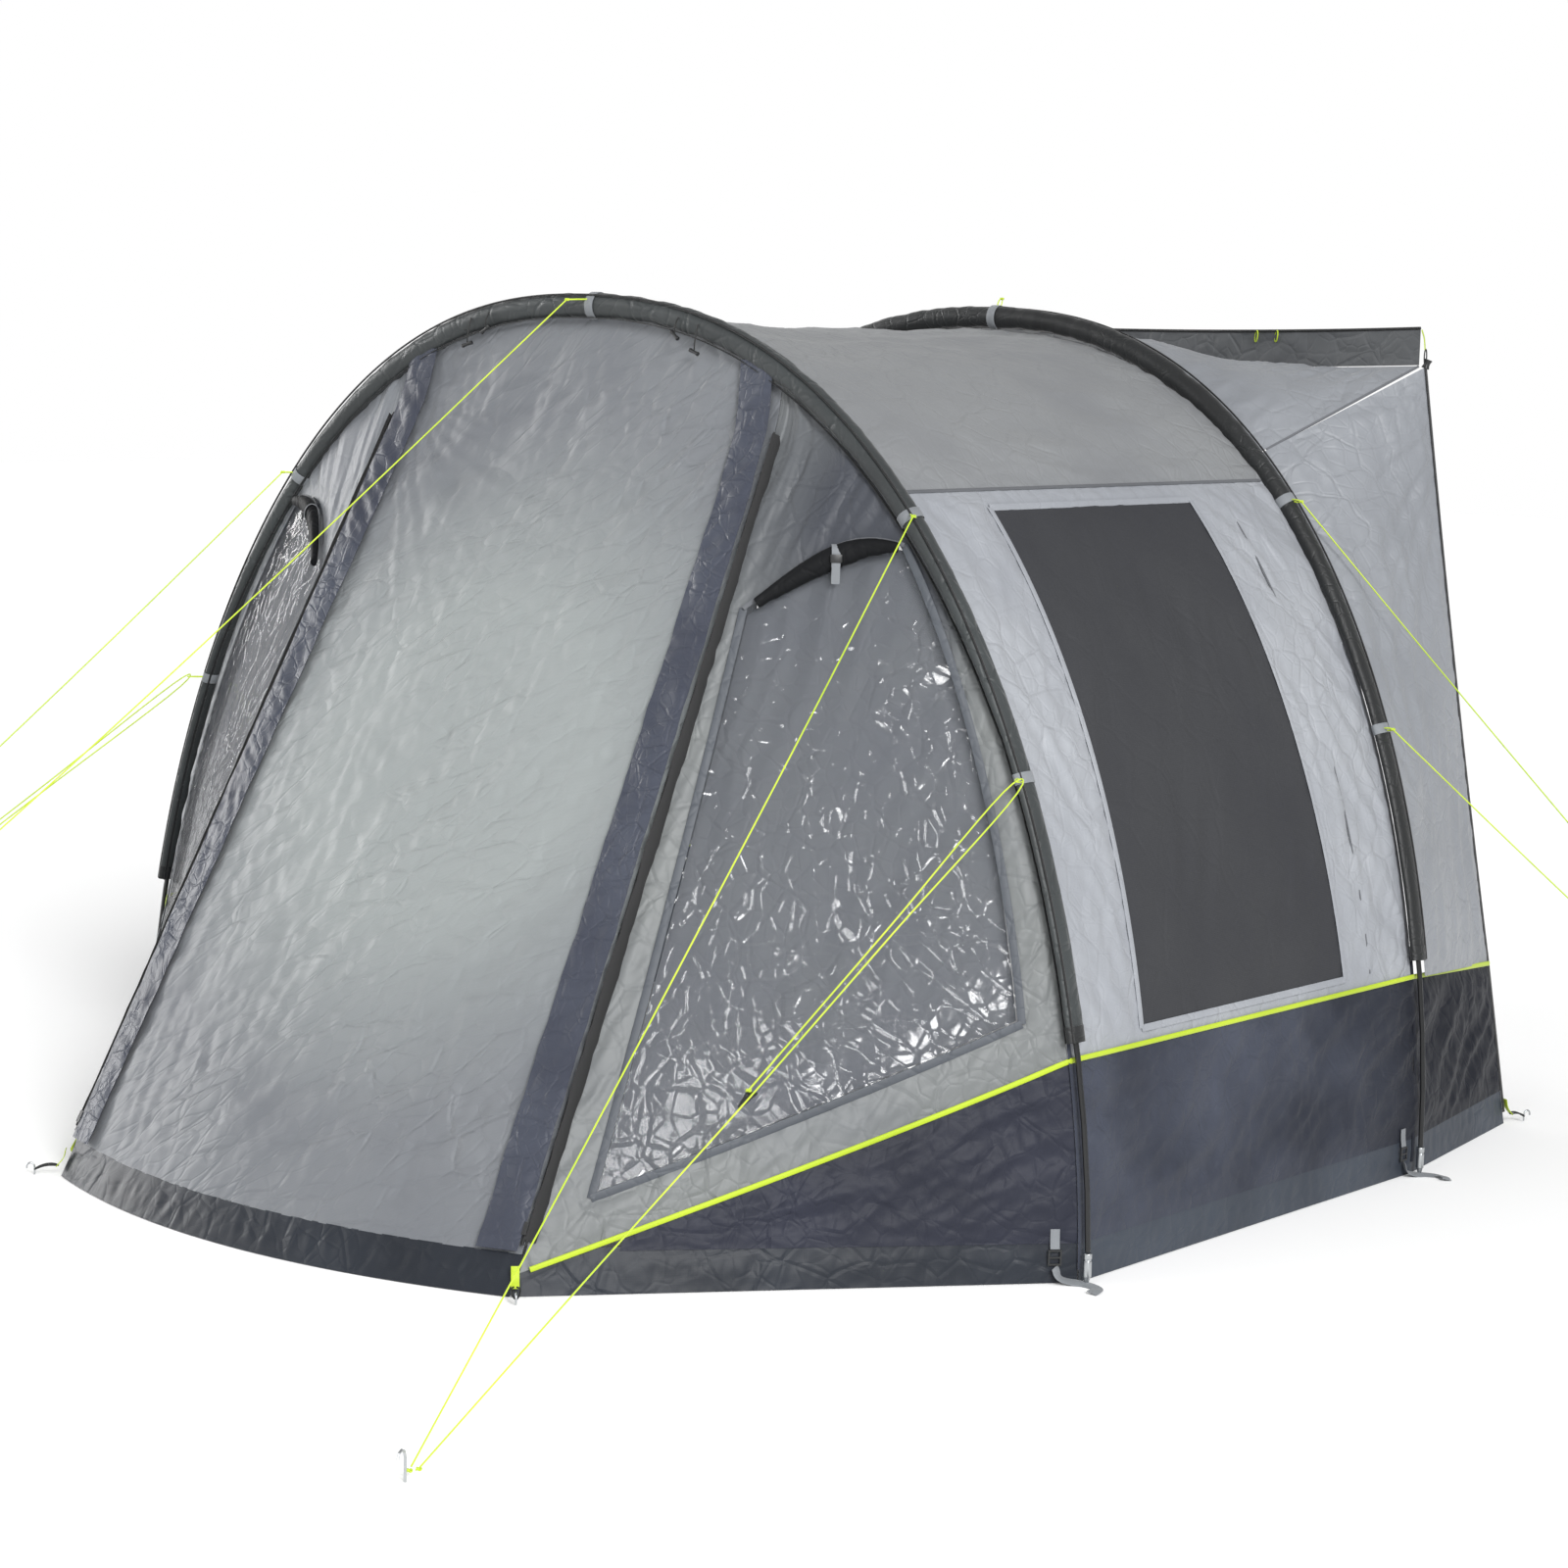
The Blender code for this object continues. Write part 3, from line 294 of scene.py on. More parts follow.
paint = {
    # coated polyester: a soft low sheen and fine creases; each panel's copy is painted its own tone
    # of light and shade, and the door is painted paler in its middle as painted light, darker at
    # its top and hem
    "door": wovenCloth("light grey coated polyester with painted shading, door", "#6c6f73", "#62656a", 0.55, 0.15,
                       crumple=0.075, depth=0.020, slant=0.72,
                       paintedShading=((0.05, -0.95, 1.02), 0.88, "#878c8c")),
    "porch": wovenCloth("light grey coated polyester with painted shading, porch", "#767a7e", "#6b6e73", 0.50, 0.15),
    # painted shade: the right porch side's copy is darker than the left's, and painted darker still
    # in a ball at its upper rear
    "porchRight": wovenCloth("light grey coated polyester with painted shade, porch right", "#6c6f6f", "#626567",
                             0.50, 0.10, paintedShading=((0.99, -0.62, 1.66), 0.52, "#393c43")),
    "hem": wovenCloth("grey hemmed polyester", "#4a4e54", "#42464c", 0.55, 0.1),
    # the rolled cover, painted charcoal: partly the roll's own cloth, partly painted shade for the
    # dark pocket between the flap's edge and the roll
    "cover": wovenCloth("charcoal coated polyester with painted shade, rolled cover", "#131416", "#0e0f11", 0.6,
                        0.04, shine=0.12),
    "seam": wovenCloth("light grey seam tape", "#5f6165", "#56585c", 0.6, 0.1, crumple=0.05,
                       depth=0.002, shine=0.2),
    "slateStrip": wovenCloth("slate coated polyester, rain flaps", "#40444f", "#30333e", 0.45,
                             0.06, shine=0.25, crumple=0.06, depth=0.020),
    # painted shading: the side walls' slate is paler than the porch walls' slate, and painted
    # darker in a ball low at the right rear, as painted shade
    "slateSide": wovenCloth("slate coated polyester with painted shading, sides", "#40444f", "#282b34", 0.55, 0.04,
                            shine=0.15, depth=0.014, paintedShading=((1.45, 1.35, 0.30), 0.85, "#191b22")),
    # laminated polythene: smoother and a little shinier than the cloth, in broad crackles; the side
    # flaps' copy is painted paler than the door and porch flaps' copy, as painted light
    "mudFlapSide": wovenCloth("grey laminated polythene with painted light, sides", "#3d434c", "#30353d", 0.46, 0.0,
                              thread=0.0050, crumple=0.11, depth=0.008, shine=0.2),
    # the same coated polyester, each panel's copy painted its own tone of light and shade: the side
    # copy painted paler, as on faces that stand square to the light; the porch walls' slate is
    # painted darker than the side walls' slate
    "side": wovenCloth("light grey coated polyester with painted light, side", "#919499", "#85888e", 0.52, 0.15),
    "roof": wovenCloth("light grey coated polyester with painted shading, roof", "#7c7e80", "#737578", 0.55, 0.12),
    "tunnel": wovenCloth("light grey coated polyester with painted shading, tunnel", "#82858a", "#777a7f", 0.50, 0.15),
    "slate": wovenCloth("slate coated polyester", "#2b2d38", "#22242d", 0.52, 0.04, depth=0.014,
                        shine=0.15),
    "curtain": wovenCloth("grey polyester curtain", "#83868b", "#777a82", 0.60, 0.10),
    # the vehicle strip: a darker cloth of its own, painted darker still as painted shade on its
    # steep face
    "strip": wovenCloth("dark grey strip cloth with painted shade", "#515355", "#47494c", 0.60, 0.10),
    # heavy black polyester: nearly matt, with a thin grey sheen along its round top; the front
    # sleeve's copy is painted charcoal, paler than the black rear sleeve, as painted light
    "sleeve": wovenCloth("black sleeve polyester", "#1d1f20", "#171819", 0.50, 0.20, crumple=0.05),
    "litSleeve": wovenCloth("black sleeve polyester with painted light, front sleeve", "#343839", "#2c2f30", 0.50, 0.20),
    # insect mesh: flat and dark, its holes too fine to see, so only a coarse weave shows
    "mesh": wovenCloth("charcoal insect mesh", "#313235", "#2c2d31", 0.75, 0.0, thread=0.0040,
                       crumple=0.14, depth=0.006, weave=0.5),
    # the door and porch flaps' polythene, painted darker than the side flaps' copy, as painted
    # shade
    "mudFlap": wovenCloth("grey laminated polythene", "#262a31", "#1e2127", 0.46, 0.0,
                          thread=0.0050, crumple=0.11, depth=0.008, shine=0.2),
    "pvc": clearPvc("clear plasticised PVC", "#4e5156"),
    # webbing and braided cord: bright, matt, with a coarse weave
    "lime": wovenCloth("lime polyester webbing", "#acc12a", "#9db31e", 0.55, 0.2, thread=0.0016,
                       crumple=0.03, depth=0.003),
    "cord": wovenCloth("lime braided polyester cord", "#c3d83a", "#aac52a", 0.5, 0.2,
                       thread=0.0020, crumple=0.03, depth=0.001, weave=0.6),
    "greyWebbing": wovenCloth("grey nylon webbing", "#7d8185", "#6f7276", 0.6, 0.2, thread=0.0018,
                              crumple=0.03, depth=0.003, weave=0.7),
    "blackWebbing": wovenCloth("black nylon webbing", "#1a1a1b", "#131415", 0.6, 0.2,
                               thread=0.0018, crumple=0.03, depth=0.003, weave=0.7),
    # moulded plastics: black with a soft highlight and a very fine grit
    "acetal": hardFinish("black moulded acetal", "#1b1c1d", 0.38),
    "nylon": hardFinish("black nylon zip coil", "#141516", 0.45),
    # pultruded rod: the smoothest black here, with a long bright line along it
    "fibreglass": hardFinish("black pultruded fibreglass", "#191a1b", 0.30),
    # zinc plate: a pale dull metal
    "zinc": hardFinish("zinc-plated steel", "#b9bcbe", 0.30, metallic=1.0),
    # braided elastic: black and matt
    "bungee": hardFinish("black bungee cord", "#161717", 0.7, grit=0.0004),
}
print("materials:", len(paint))


# ---- the tent's shape: the lines that every cloth hangs between, in metres

tent = {"archHeight": 2.055, "archHalfWidth": 1.520, "heightPower": 1.8, "widthPower": 2.3,
        "frontFootY": -0.496, "rearFootY": 0.904, "frontLean": 0.8, "rearLean": 5.4,
        "skinInset": 0.022, "porchDepth": 0.940, "doorTop": 1.800, "doorTopHalf": 0.600,
        "cornerHalf": 0.725, "doorTopBack": 0.010, "bow": 0.143, "tunnelY": 1.575,
        "tunnelTop": 2.038, "tunnelTopHalf": 1.030, "tunnelFootHalf": 1.390, "tunnelSag": 0.025,
        "hip": 1.720, "roofSeam": 1.650, "roofSag": 0.020, "flap": 0.090, "groundGap": 0.0015,
        "piping": 0.475, "pipingTunnel": 0.413, "pipingCorner": 0.045, "strip": 0.095,
        "doorHem": 0.080, "sleeveHalf": 0.023, "gap": 0.003,
        "seamGap": 0.001, "overlap": 0.004, "arcLimit": 0.007}
sides = {"left": -1, "right": 1}


def at(x, y, z):
    return np.stack(np.broadcast_arrays(x, y, z), axis=-1).astype(float)


def mix(a, b, share):
    return a + (b - a) * np.asarray(share, float)[..., None]


def halfWidth(z, inset=tent["skinInset"]):
    rise = np.clip(np.asarray(z, float) / (tent["archHeight"] - inset), 0, 1)
    return ((tent["archHalfWidth"] - inset)
            * (1 - rise ** tent["heightPower"]) ** (1 / tent["widthPower"]))


def heightAt(x, inset=tent["skinInset"]):
    share = np.clip(np.abs(x) / (tent["archHalfWidth"] - inset), 0, 1)
    return ((tent["archHeight"] - inset)
            * (1 - share ** tent["widthPower"]) ** (1 / tent["heightPower"]))


def frontY(z):
    return tent["frontFootY"] + z * math.tan(math.radians(tent["frontLean"]))


def rearY(z):
    return tent["rearFootY"] + z * math.tan(math.radians(tent["rearLean"]))


def archLine(low, count, inset=tent["skinInset"]):
    # x and height from the right leg over the crown to the left leg
    start = math.asin((low / (tent["archHeight"] - inset)) ** (tent["heightPower"] / 2))
    angle = np.linspace(start, math.pi - start, count)
    x = (tent["archHalfWidth"] - inset) * np.abs(np.cos(angle)) ** (2 / tent["widthPower"])
    return (np.sign(np.cos(angle)) * x,
            (tent["archHeight"] - inset) * np.sin(angle) ** (2 / tent["heightPower"]))


def frontLeg(side, z):
    return at(side * halfWidth(z), frontY(z), z)


def rearLeg(side, z):
    return at(side * halfWidth(z), rearY(z), z)


def frontSheet(across, z):
    # the door's sheet, in one smooth turn from its slope to the arch; -1 and 1 are its corners
    drop = 1 - z / tent["doorTop"]
    half = tent["doorTopHalf"] + (tent["cornerHalf"] - tent["doorTopHalf"]) * drop
    x = across * half
    top = heightAt(across * (tent["doorTopHalf"] - tent["arcLimit"]))
    low = ((tent["porchDepth"] + tent["doorTopBack"] + tent["bow"] * (1 - across ** 2))
           / tent["doorTop"])
    high = (frontY(top) - tent["frontFootY"] - tent["doorTopBack"]) / (top - tent["doorTop"])
    turn = 0.8 * (top - tent["doorTop"])
    step = z - tent["doorTop"]
    bend = (high - low) / (4 * turn) * (step + turn) ** 2 + low * step
    y = np.where(step < -turn, low * step, np.where(step > turn, high * step, bend))
    return at(x, tent["frontFootY"] + tent["doorTopBack"] + y, z)


def cornerLine(side, z):
    return frontSheet(side * np.ones_like(np.asarray(z, float)), np.asarray(z, float))


def porchPoint(side, across, z):
    return mix(cornerLine(side, z), frontLeg(side, z), across)


def tunnelEdge(side, z):
    drop = 1 - z / tent["tunnelTop"]
    x = tent["tunnelTopHalf"] + (tent["tunnelFootHalf"] - tent["tunnelTopHalf"]) * drop
    return at(side * x, tent["tunnelY"], z)


def sidePoint(side, across, z):
    # 0 at the front leg, 1 at the rear leg, 2 at the tunnel's end
    middle = rearLeg(side, z)
    fore = mix(frontLeg(side, z), middle, np.clip(across, 0, 1))
    return np.where((np.asarray(across) <= 1)[..., None], fore,
                    mix(middle, tunnelEdge(side, z), np.clip(across - 1, 0, 1)))


def porchPiping(across):
    return tent["pipingCorner"] + (tent["piping"] - tent["pipingCorner"]) * across


def sidePiping(across):
    return tent["piping"] + (tent["pipingTunnel"] - tent["piping"]) * np.clip(across - 1, 0, 1)


def tunnelTop(across, below=0.0):
    z = tent["tunnelTop"] - tent["tunnelSag"] * (1 - across ** 2)
    return at(across * tent["tunnelTopHalf"], tent["tunnelY"], z - below)


# ---- folds and creases

def softNoise(x, y, seed=0.0):
    xi, yi = np.floor(x), np.floor(y)
    xf, yf = x - xi, y - yi

    def corner(i, j):
        turn = np.sin((xi + i) * 127.1 + (yi + j) * 311.7 + seed * 74.7) * 43758.5453
        turn = (turn - np.floor(turn)) * 2 * math.pi
        return np.cos(turn) * (xf - i) + np.sin(turn) * (yf - j)

    ease = lambda t: t ** 3 * (t * (t * 6 - 15) + 10)
    low = corner(0, 0) + (corner(1, 0) - corner(0, 0)) * ease(xf)
    high = corner(0, 1) + (corner(1, 1) - corner(0, 1)) * ease(xf)
    return 1.5 * (low + (high - low) * ease(yf))


def crest(value):
    return 1 - 2.2 * np.sqrt(value ** 2 + 0.0012)        # a sharp crease along each zero line


def relief(s, t, edge, layers, calm):
    total = np.zeros_like(s)
    fade = 1 - np.exp(-(edge / calm) ** 2)
    for seed, (kind, *size) in enumerate(layers):
        if kind == "crumple":
            width, height = size
            warp = softNoise(s / width / 2.5, t / width / 2.5, seed + 9.1) * 0.9
            layer = (crest(softNoise(s / width + warp, t / width - warp, seed))
                     + 0.5 * crest(softNoise(s / width * 2.1 - warp, t / width * 2.1, seed + 3.3)))
            total += height * layer * fade
        elif kind == "folds":                            # long ridges that run at an angle
            angle, spacing, length, height = size
            turn = math.radians(angle)
            along = s * math.cos(turn) + t * math.sin(turn)
            off = t * math.cos(turn) - s * math.sin(turn)
            warp = 0.5 * softNoise(s / 0.35, t / 0.35, seed + 5.7)
            total += height * crest(softNoise(along / length, off / spacing + warp, seed)) * fade
        elif kind == "fan":                              # folds that spread from a corner
            (s0, t0), spread, reach, height = size
            far = np.hypot(s - s0, t - t0)
            turn = np.arctan2(t - t0, s - s0) / spread
            layer = crest(softNoise(turn, far / 0.9 + seed, seed + 1.9))
            total += height * layer * np.exp(-far / reach) * (far / (far + 0.10)) * fade
        elif kind == "swell":
            width, height = size
            total += height * softNoise(s / width, t / width, seed + 2.2) * fade
        elif kind == "pucker":                           # short gathers along every seam
            spacing, height, reach = size
            start = 1 - np.exp(-(edge / 0.006) ** 2)
            layer = softNoise((s + t * 0.15) / spacing, (t - s * 0.15) / spacing, seed + 4.4)
            total += height * layer * np.exp(-edge / reach) * start
    return total


# ---- makers

def deselectAll():
    if bpy.context.mode != "OBJECT":
        bpy.ops.object.mode_set(mode="OBJECT")
    bpy.ops.object.select_all(action="DESELECT")


def applyModifier(piece, kind, **settings):
    modifier = piece.modifiers.new(kind.lower(), kind)
    for key, value in settings.items():
        setattr(modifier, key, value)
    bpy.context.view_layer.objects.active = piece
    bpy.ops.object.modifier_apply(modifier=modifier.name)


def finishPiece(piece, name, material, body):
    piece.name = name
    piece.data.name = name
    piece.data.materials.clear()
    piece.data.materials.append(material)
    if body:
        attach(piece, body)
    piece.select_set(False)
    return piece


def gridPiece(points, s, t):
    # a primitive grid whose points are moved to their places, with its UV map in metres
    count = points.shape[:2]
    deselectAll()
    bpy.ops.mesh.primitive_grid_add(x_subdivisions=count[0] - 1, y_subdivisions=count[1] - 1,
                                    size=2)
    piece = bpy.context.object
    mesh = piece.data
    flat = np.empty(len(mesh.vertices) * 3)
    mesh.vertices.foreach_get("co", flat)
    flat = flat.reshape(-1, 3)
    i = np.rint((flat[:, 0] + 1) / 2 * (count[0] - 1)).astype(int)
    j = np.rint((flat[:, 1] + 1) / 2 * (count[1] - 1)).astype(int)
    mesh.vertices.foreach_set("co", points[i, j].ravel())
    corners = np.empty(len(mesh.loops), int)
    mesh.loops.foreach_get("vertex_index", corners)
    places = np.stack((s[i, j][corners], t[i, j][corners]), axis=-1)
    mesh.uv_layers.active.data.foreach_set("uv", places.ravel())
    mesh.update()
    return piece, i, j


def measure(points):
    # distances over the surface, from its middle, along both ways of the grid
    s = np.concatenate((np.zeros_like(points[:1, :, 0]),
                        np.cumsum(np.linalg.norm(np.diff(points, axis=0), axis=-1), axis=0)))
    t = np.concatenate((np.zeros_like(points[:, :1, 0]),
                        np.cumsum(np.linalg.norm(np.diff(points, axis=1), axis=-1), axis=1)),
                       axis=1)
    return s, t


def stops(*values, step=0.008, length=1.0):
    # values with even steps between them; length is what 1 means in metres
    made = [values[0]]
    for start, end in zip(values, values[1:]):
        count = max(1, round(abs(end - start) * length / step))
        made += list(np.linspace(start, end, count + 1)[1:])
    return np.array(made)


def makeCloth(name, columns, rows, place, material, layers=(), body="tent", hole=None,
              lift=0.0, thickness=0.0008, replaces=(),
              middle=(0, 0.35, 0.8), calm=0.035):
    u, v = np.meshgrid(columns, rows, indexing="ij")
    points = place(u, v)
    normal = np.cross(np.gradient(points, axis=0), np.gradient(points, axis=1))
    normal /= np.linalg.norm(normal, axis=-1, keepdims=True) + 1e-12
    outward = ((points - np.array(middle)) * normal).sum() > 0
    if not outward:
        normal = -normal
    s, t = measure(points)
    edges = [s, s[-1:] - s, t, t[:, -1:] - t]
    if hole:
        c0, c1, r0, r1 = hole
        inside = (u > c0) & (u < c1) & (v > r0) & (v < r1)
        metre = (np.linalg.norm(np.gradient(points, axis=0), axis=-1)
                 / np.abs(np.gradient(u, axis=0)))
        metreV = (np.linalg.norm(np.gradient(points, axis=1), axis=-1)
                  / np.abs(np.gradient(v, axis=1)))
        away = np.hypot(np.maximum(np.maximum(c0 - u, u - c1), 0) * metre,
                        np.maximum(np.maximum(r0 - v, v - r1), 0) * metreV)
        edges.append(np.where(inside, 0, away))
    edge = np.minimum.reduce(edges)
    piece, i, j = gridPiece(points, s, t)
    mesh = piece.data
    if hole:
        centre = np.empty(len(mesh.polygons) * 4, int)
        mesh.polygons.foreach_get("vertices", centre)
        centre = centre.reshape(-1, 4)
        pu, pv = u[i, j][centre].mean(axis=1), v[i, j][centre].mean(axis=1)
        mesh.polygons.foreach_set("select", (pu > c0) & (pu < c1) & (pv > r0) & (pv < r1))
        bpy.ops.object.mode_set(mode="EDIT")
        bpy.ops.mesh.select_mode(type="FACE")
        bpy.ops.object.mode_set(mode="OBJECT")
        mesh.polygons.foreach_set("select", (pu > c0) & (pu < c1) & (pv > r0) & (pv < r1))
        bpy.ops.object.mode_set(mode="EDIT")
        bpy.ops.mesh.delete(type="FACE")
        bpy.ops.object.mode_set(mode="OBJECT")
    area = sum(face.area for face in mesh.polygons)
    shaped = points + normal * (lift + relief(s, t, edge, layers, calm))[..., None]
    flat = np.empty(len(mesh.vertices) * 3)
    mesh.vertices.foreach_get("co", flat)
    flat = flat.reshape(-1, 3)
    if len(flat) == shaped.shape[0] * shaped.shape[1]:
        mesh.vertices.foreach_set("co", shaped[i, j].ravel())
    else:                                                # a hole has renumbered the points
        keep = np.ones(len(i), bool)
        keep[np.unique(centre)] = False
        removed = (pu > c0) & (pu < c1) & (pv > r0) & (pv < r1)
        keep[np.unique(centre[~removed])] = True
        mesh.vertices.foreach_set("co", shaped[i[keep], j[keep]].ravel())
    mesh.update()
    facing = sum(face.normal.dot(face.center - Vector(middle)) * face.area
                 for face in mesh.polygons)
    if facing < 0:
        bpy.ops.object.mode_set(mode="EDIT")
        bpy.ops.mesh.select_all(action="SELECT")
        bpy.ops.mesh.flip_normals()
        bpy.ops.object.mode_set(mode="OBJECT")
    if thickness:
        applyModifier(piece, "SOLIDIFY", thickness=thickness, offset=0)
    bpy.ops.object.shade_smooth_by_angle(angle=math.radians(60))
    finishPiece(piece, name, material, body)
    wide, tall = float(np.ptp(s, axis=0).max()), float(np.ptp(t, axis=1).max())
    shrink = min(1.0, math.sqrt(area / (0.32 * wide * tall)))
    wide, tall = wide * shrink, tall * shrink
    if replaces:
        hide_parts(*replaces)
    return piece


def sweep(name, path, outline, material, body, hint=None, closed=False, grow=None,
          smooth=60):
    # a closed outline carried along a path; hint is the way that the outline's second axis faces
    path = np.asarray(path, float)
    ends = np.concatenate((path[-2:-1], path, path[1:2])) if closed else path
    tangent = np.gradient(ends, axis=0)
    tangent = tangent[1:-1] if closed else tangent
    tangent /= np.linalg.norm(tangent, axis=1, keepdims=True)
    if hint is None:
        ups = []
        up = np.cross(tangent[0], (0.31, 0.52, 0.79))
        for way in tangent:
            up = up - way * up.dot(way)
            up /= np.linalg.norm(up)
            ups.append(up)
        ups = np.array(ups)
        if closed:                                       # shares out the twist left at the join
            last, way = ups[-1], tangent[0]
            gap = math.atan2(np.dot(np.cross(last, ups[0]), way), np.dot(last, ups[0]))
            turn = gap * np.linspace(0, 1, len(ups))[:, None]
            ups = ups * np.cos(turn) + np.cross(tangent, ups) * np.sin(turn)
    else:
        hint = np.broadcast_to(np.asarray(hint, float), path.shape)
        ups = hint - tangent * (hint * tangent).sum(axis=1, keepdims=True)
        ups /= np.linalg.norm(ups, axis=1, keepdims=True)
    across = np.cross(tangent, ups)
    outline = np.asarray(list(outline) + [outline[0]], float)
    size = np.ones(len(path)) if grow is None else np.asarray(grow, float)
    a = outline[None, :, 0] * (size[:, None] if size.ndim == 1 else size[:, :1])
    b = outline[None, :, 1] * (size[:, None] if size.ndim == 1 else size[:, 1:])
    points = path[:, None] + across[:, None] * a[..., None] + ups[:, None] * b[..., None]
    s, t = measure(points)
    s = np.broadcast_to(s.mean(axis=1, keepdims=True), s.shape)
    piece, _, _ = gridPiece(points, s, t)
    bpy.ops.object.mode_set(mode="EDIT")
    bpy.ops.mesh.select_all(action="SELECT")
    bpy.ops.mesh.remove_doubles(threshold=1e-6)
    bpy.ops.mesh.select_all(action="DESELECT")
    if not closed:
        bpy.ops.mesh.select_mode(type="EDGE")
        bpy.ops.mesh.select_non_manifold(extend=False)
        bpy.ops.mesh.edge_face_add()
        bpy.ops.mesh.select_mode(type="VERT")
    bpy.ops.mesh.select_all(action="SELECT")
    bpy.ops.mesh.normals_make_consistent(inside=False)
    bpy.ops.object.mode_set(mode="OBJECT")
    bpy.ops.object.shade_smooth_by_angle(angle=math.radians(smooth))
    return finishPiece(piece, name, material, body)


def roundOutline(wide, tall=None, count=12):
    tall = wide if tall is None else tall
    turn = np.linspace(0, 2 * math.pi, count, endpoint=False)
    return [(wide / 2 * math.cos(a), tall / 2 * math.sin(a)) for a in turn]


def flatOutline(wide, tall, count=4):
    # a strap's section, with round edges
    points = []
    for end, start in ((1, -90), (-1, 90)):
        for step in range(count + 1):
            turn = math.radians(start + 180 * step / count)
            points.append((end * (wide - tall) / 2 + tall / 2 * math.cos(turn),
                           tall / 2 * math.sin(turn)))
    return points


def smoothRoute(route, samples):
    # the same curve as the CAD line's: steps between points count as the root of their length
    points = [Vector(p) for p in route]
    padded = [2 * points[0] - points[1], *points, 2 * points[-1] - points[-2]]
    found = []
    for sample in range(samples):
        place = sample * (len(points) - 1) / (samples - 1)
        k = min(int(place), len(points) - 2)
        near = padded[k:k + 4]
        knots = [0.0]
        for before, after in zip(near, near[1:]):
            knots.append(knots[-1] + (after - before).length ** 0.5)
        t = knots[1] + (knots[2] - knots[1]) * (place - k)
        for spans in (((0, 1), (1, 2), (2, 3)), ((0, 2), (1, 3)), ((1, 2),)):
            near = [near[i].lerp(near[i + 1], (t - knots[low]) / (knots[high] - knots[low]))
                    for i, (low, high) in enumerate(spans)]
        found.append(near[0])
    return np.array([tuple(p) for p in found])


# ---- guy lines

guyLines = {
    "diameter": 0.0035, "knotSize": 0.0052,
    "apex": [(-0.012, -0.535, 2.052), (-0.262, -1.070, 1.508), (-0.512, -1.596, 0.985),
             (-0.766, -2.121, 0.483), (-0.994, -2.608, 0.022)],
    "frontUpper": [(1.002, -0.512, 1.606), (1.104, -0.980, 1.196), (1.205, -1.446, 0.800),
                   (1.308, -1.918, 0.405), (1.408, -2.385, 0.022)],
    "frontLower": [(1.369, -1.452, 0.543), (1.342, -1.000, 0.799), (1.316, -0.548, 1.058),
                   (1.328, -0.531, 1.069), (1.341, -0.545, 1.060), (1.363, -1.000, 0.800),
                   (1.386, -1.460, 0.539), (1.403, -1.900, 0.293), (1.426, -2.385, 0.022)],
    "rearUpper": [(1.018, 1.045, 1.604), (1.338, 1.208, 1.202), (1.658, 1.371, 0.806),
                  (1.978, 1.534, 0.412), (2.278, 1.688, 0.022)],
    "rearLower": [(1.334, 1.000, 1.066), (1.574, 1.174, 0.798), (1.814, 1.348, 0.534),
                  (2.054, 1.522, 0.273), (2.270, 1.702, 0.022)],
}


def onSide(path, side):
    return np.asarray(path) * np.array((side, 1, 1))


def makeKnot(name, centre, body, size=1.0):
    # one overhand knot, as a trefoil of the same cord
    turn = np.linspace(0, 2 * math.pi, 37)
    big = guyLines["knotSize"] * size
    path = np.stack((np.sin(turn) + 2 * np.sin(2 * turn), np.cos(turn) - 2 * np.cos(2 * turn),
                     -np.sin(3 * turn)), axis=-1) * big / 3 + np.asarray(centre)
    return sweep(name, path, roundOutline(guyLines["diameter"] * size, count=6), paint["cord"],
                 body, closed=True)


def makeLine(name, path, body, replaces):
    line = sweep(name, path, roundOutline(guyLines["diameter"], count=8), paint["cord"], body)
    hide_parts(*replaces)
    return line


nodes = {name: bpy.data.objects[name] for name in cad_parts}

for name, route, side, cadLine, peg in (
        ("apexGuyLine", "apex", 1, "guy_line_apex", "guy_peg_apex"),
        ("frontUpperGuyLineRight", "frontUpper", 1, "guy_line_front_upper_right",
         "guy_peg_front_right"),
        ("frontUpperGuyLineLeft", "frontUpper", -1, "guy_line_front_upper_left",
         "guy_peg_front_left"),
        ("rearUpperGuyLineRight", "rearUpper", 1, "guy_line_rear_upper_right",
         "guy_peg_rear_right"),
        ("rearLowerGuyLineRight", "rearLower", 1, "guy_line_rear_lower_right",
         "guy_peg_rear_right")):
    path = onSide(smoothRoute(guyLines[route], 31), side)
    topKnot = makeKnot(name + "TopKnot", path[0], "tent")
    pegKnot = makeKnot(name + "PegKnot", path[-1] + (path[-1] - path[-2]) * 0.1, "tent")
    makeLine(name, path, "tent", [cadLine])

for word, side in sides.items():
    path = onSide(smoothRoute(guyLines["frontLower"], 65), side)
    cut = 48                                             # the point at the tensioner
    tensioner, peg = f"tensioner_{word}", nodes[f"guy_peg_front_{word}"]
    knot = makeKnot(f"tensionerKnot{word.title()}", path[0], tensioner)
    loop = makeLine(f"frontLowerGuyLoop{word.title()}", path[:cut + 1], None,
                    [f"guy_line_front_lower_{word}"])
    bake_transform(loop)
    pegKnot = makeKnot(f"frontLowerPegKnot{word.title()}", path[-1], "tent")
    tail = makeLine(f"frontLowerGuyTail{word.title()}", path[cut:], None, [])
    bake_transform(tail)
print("guy lines are in")


# ---- front

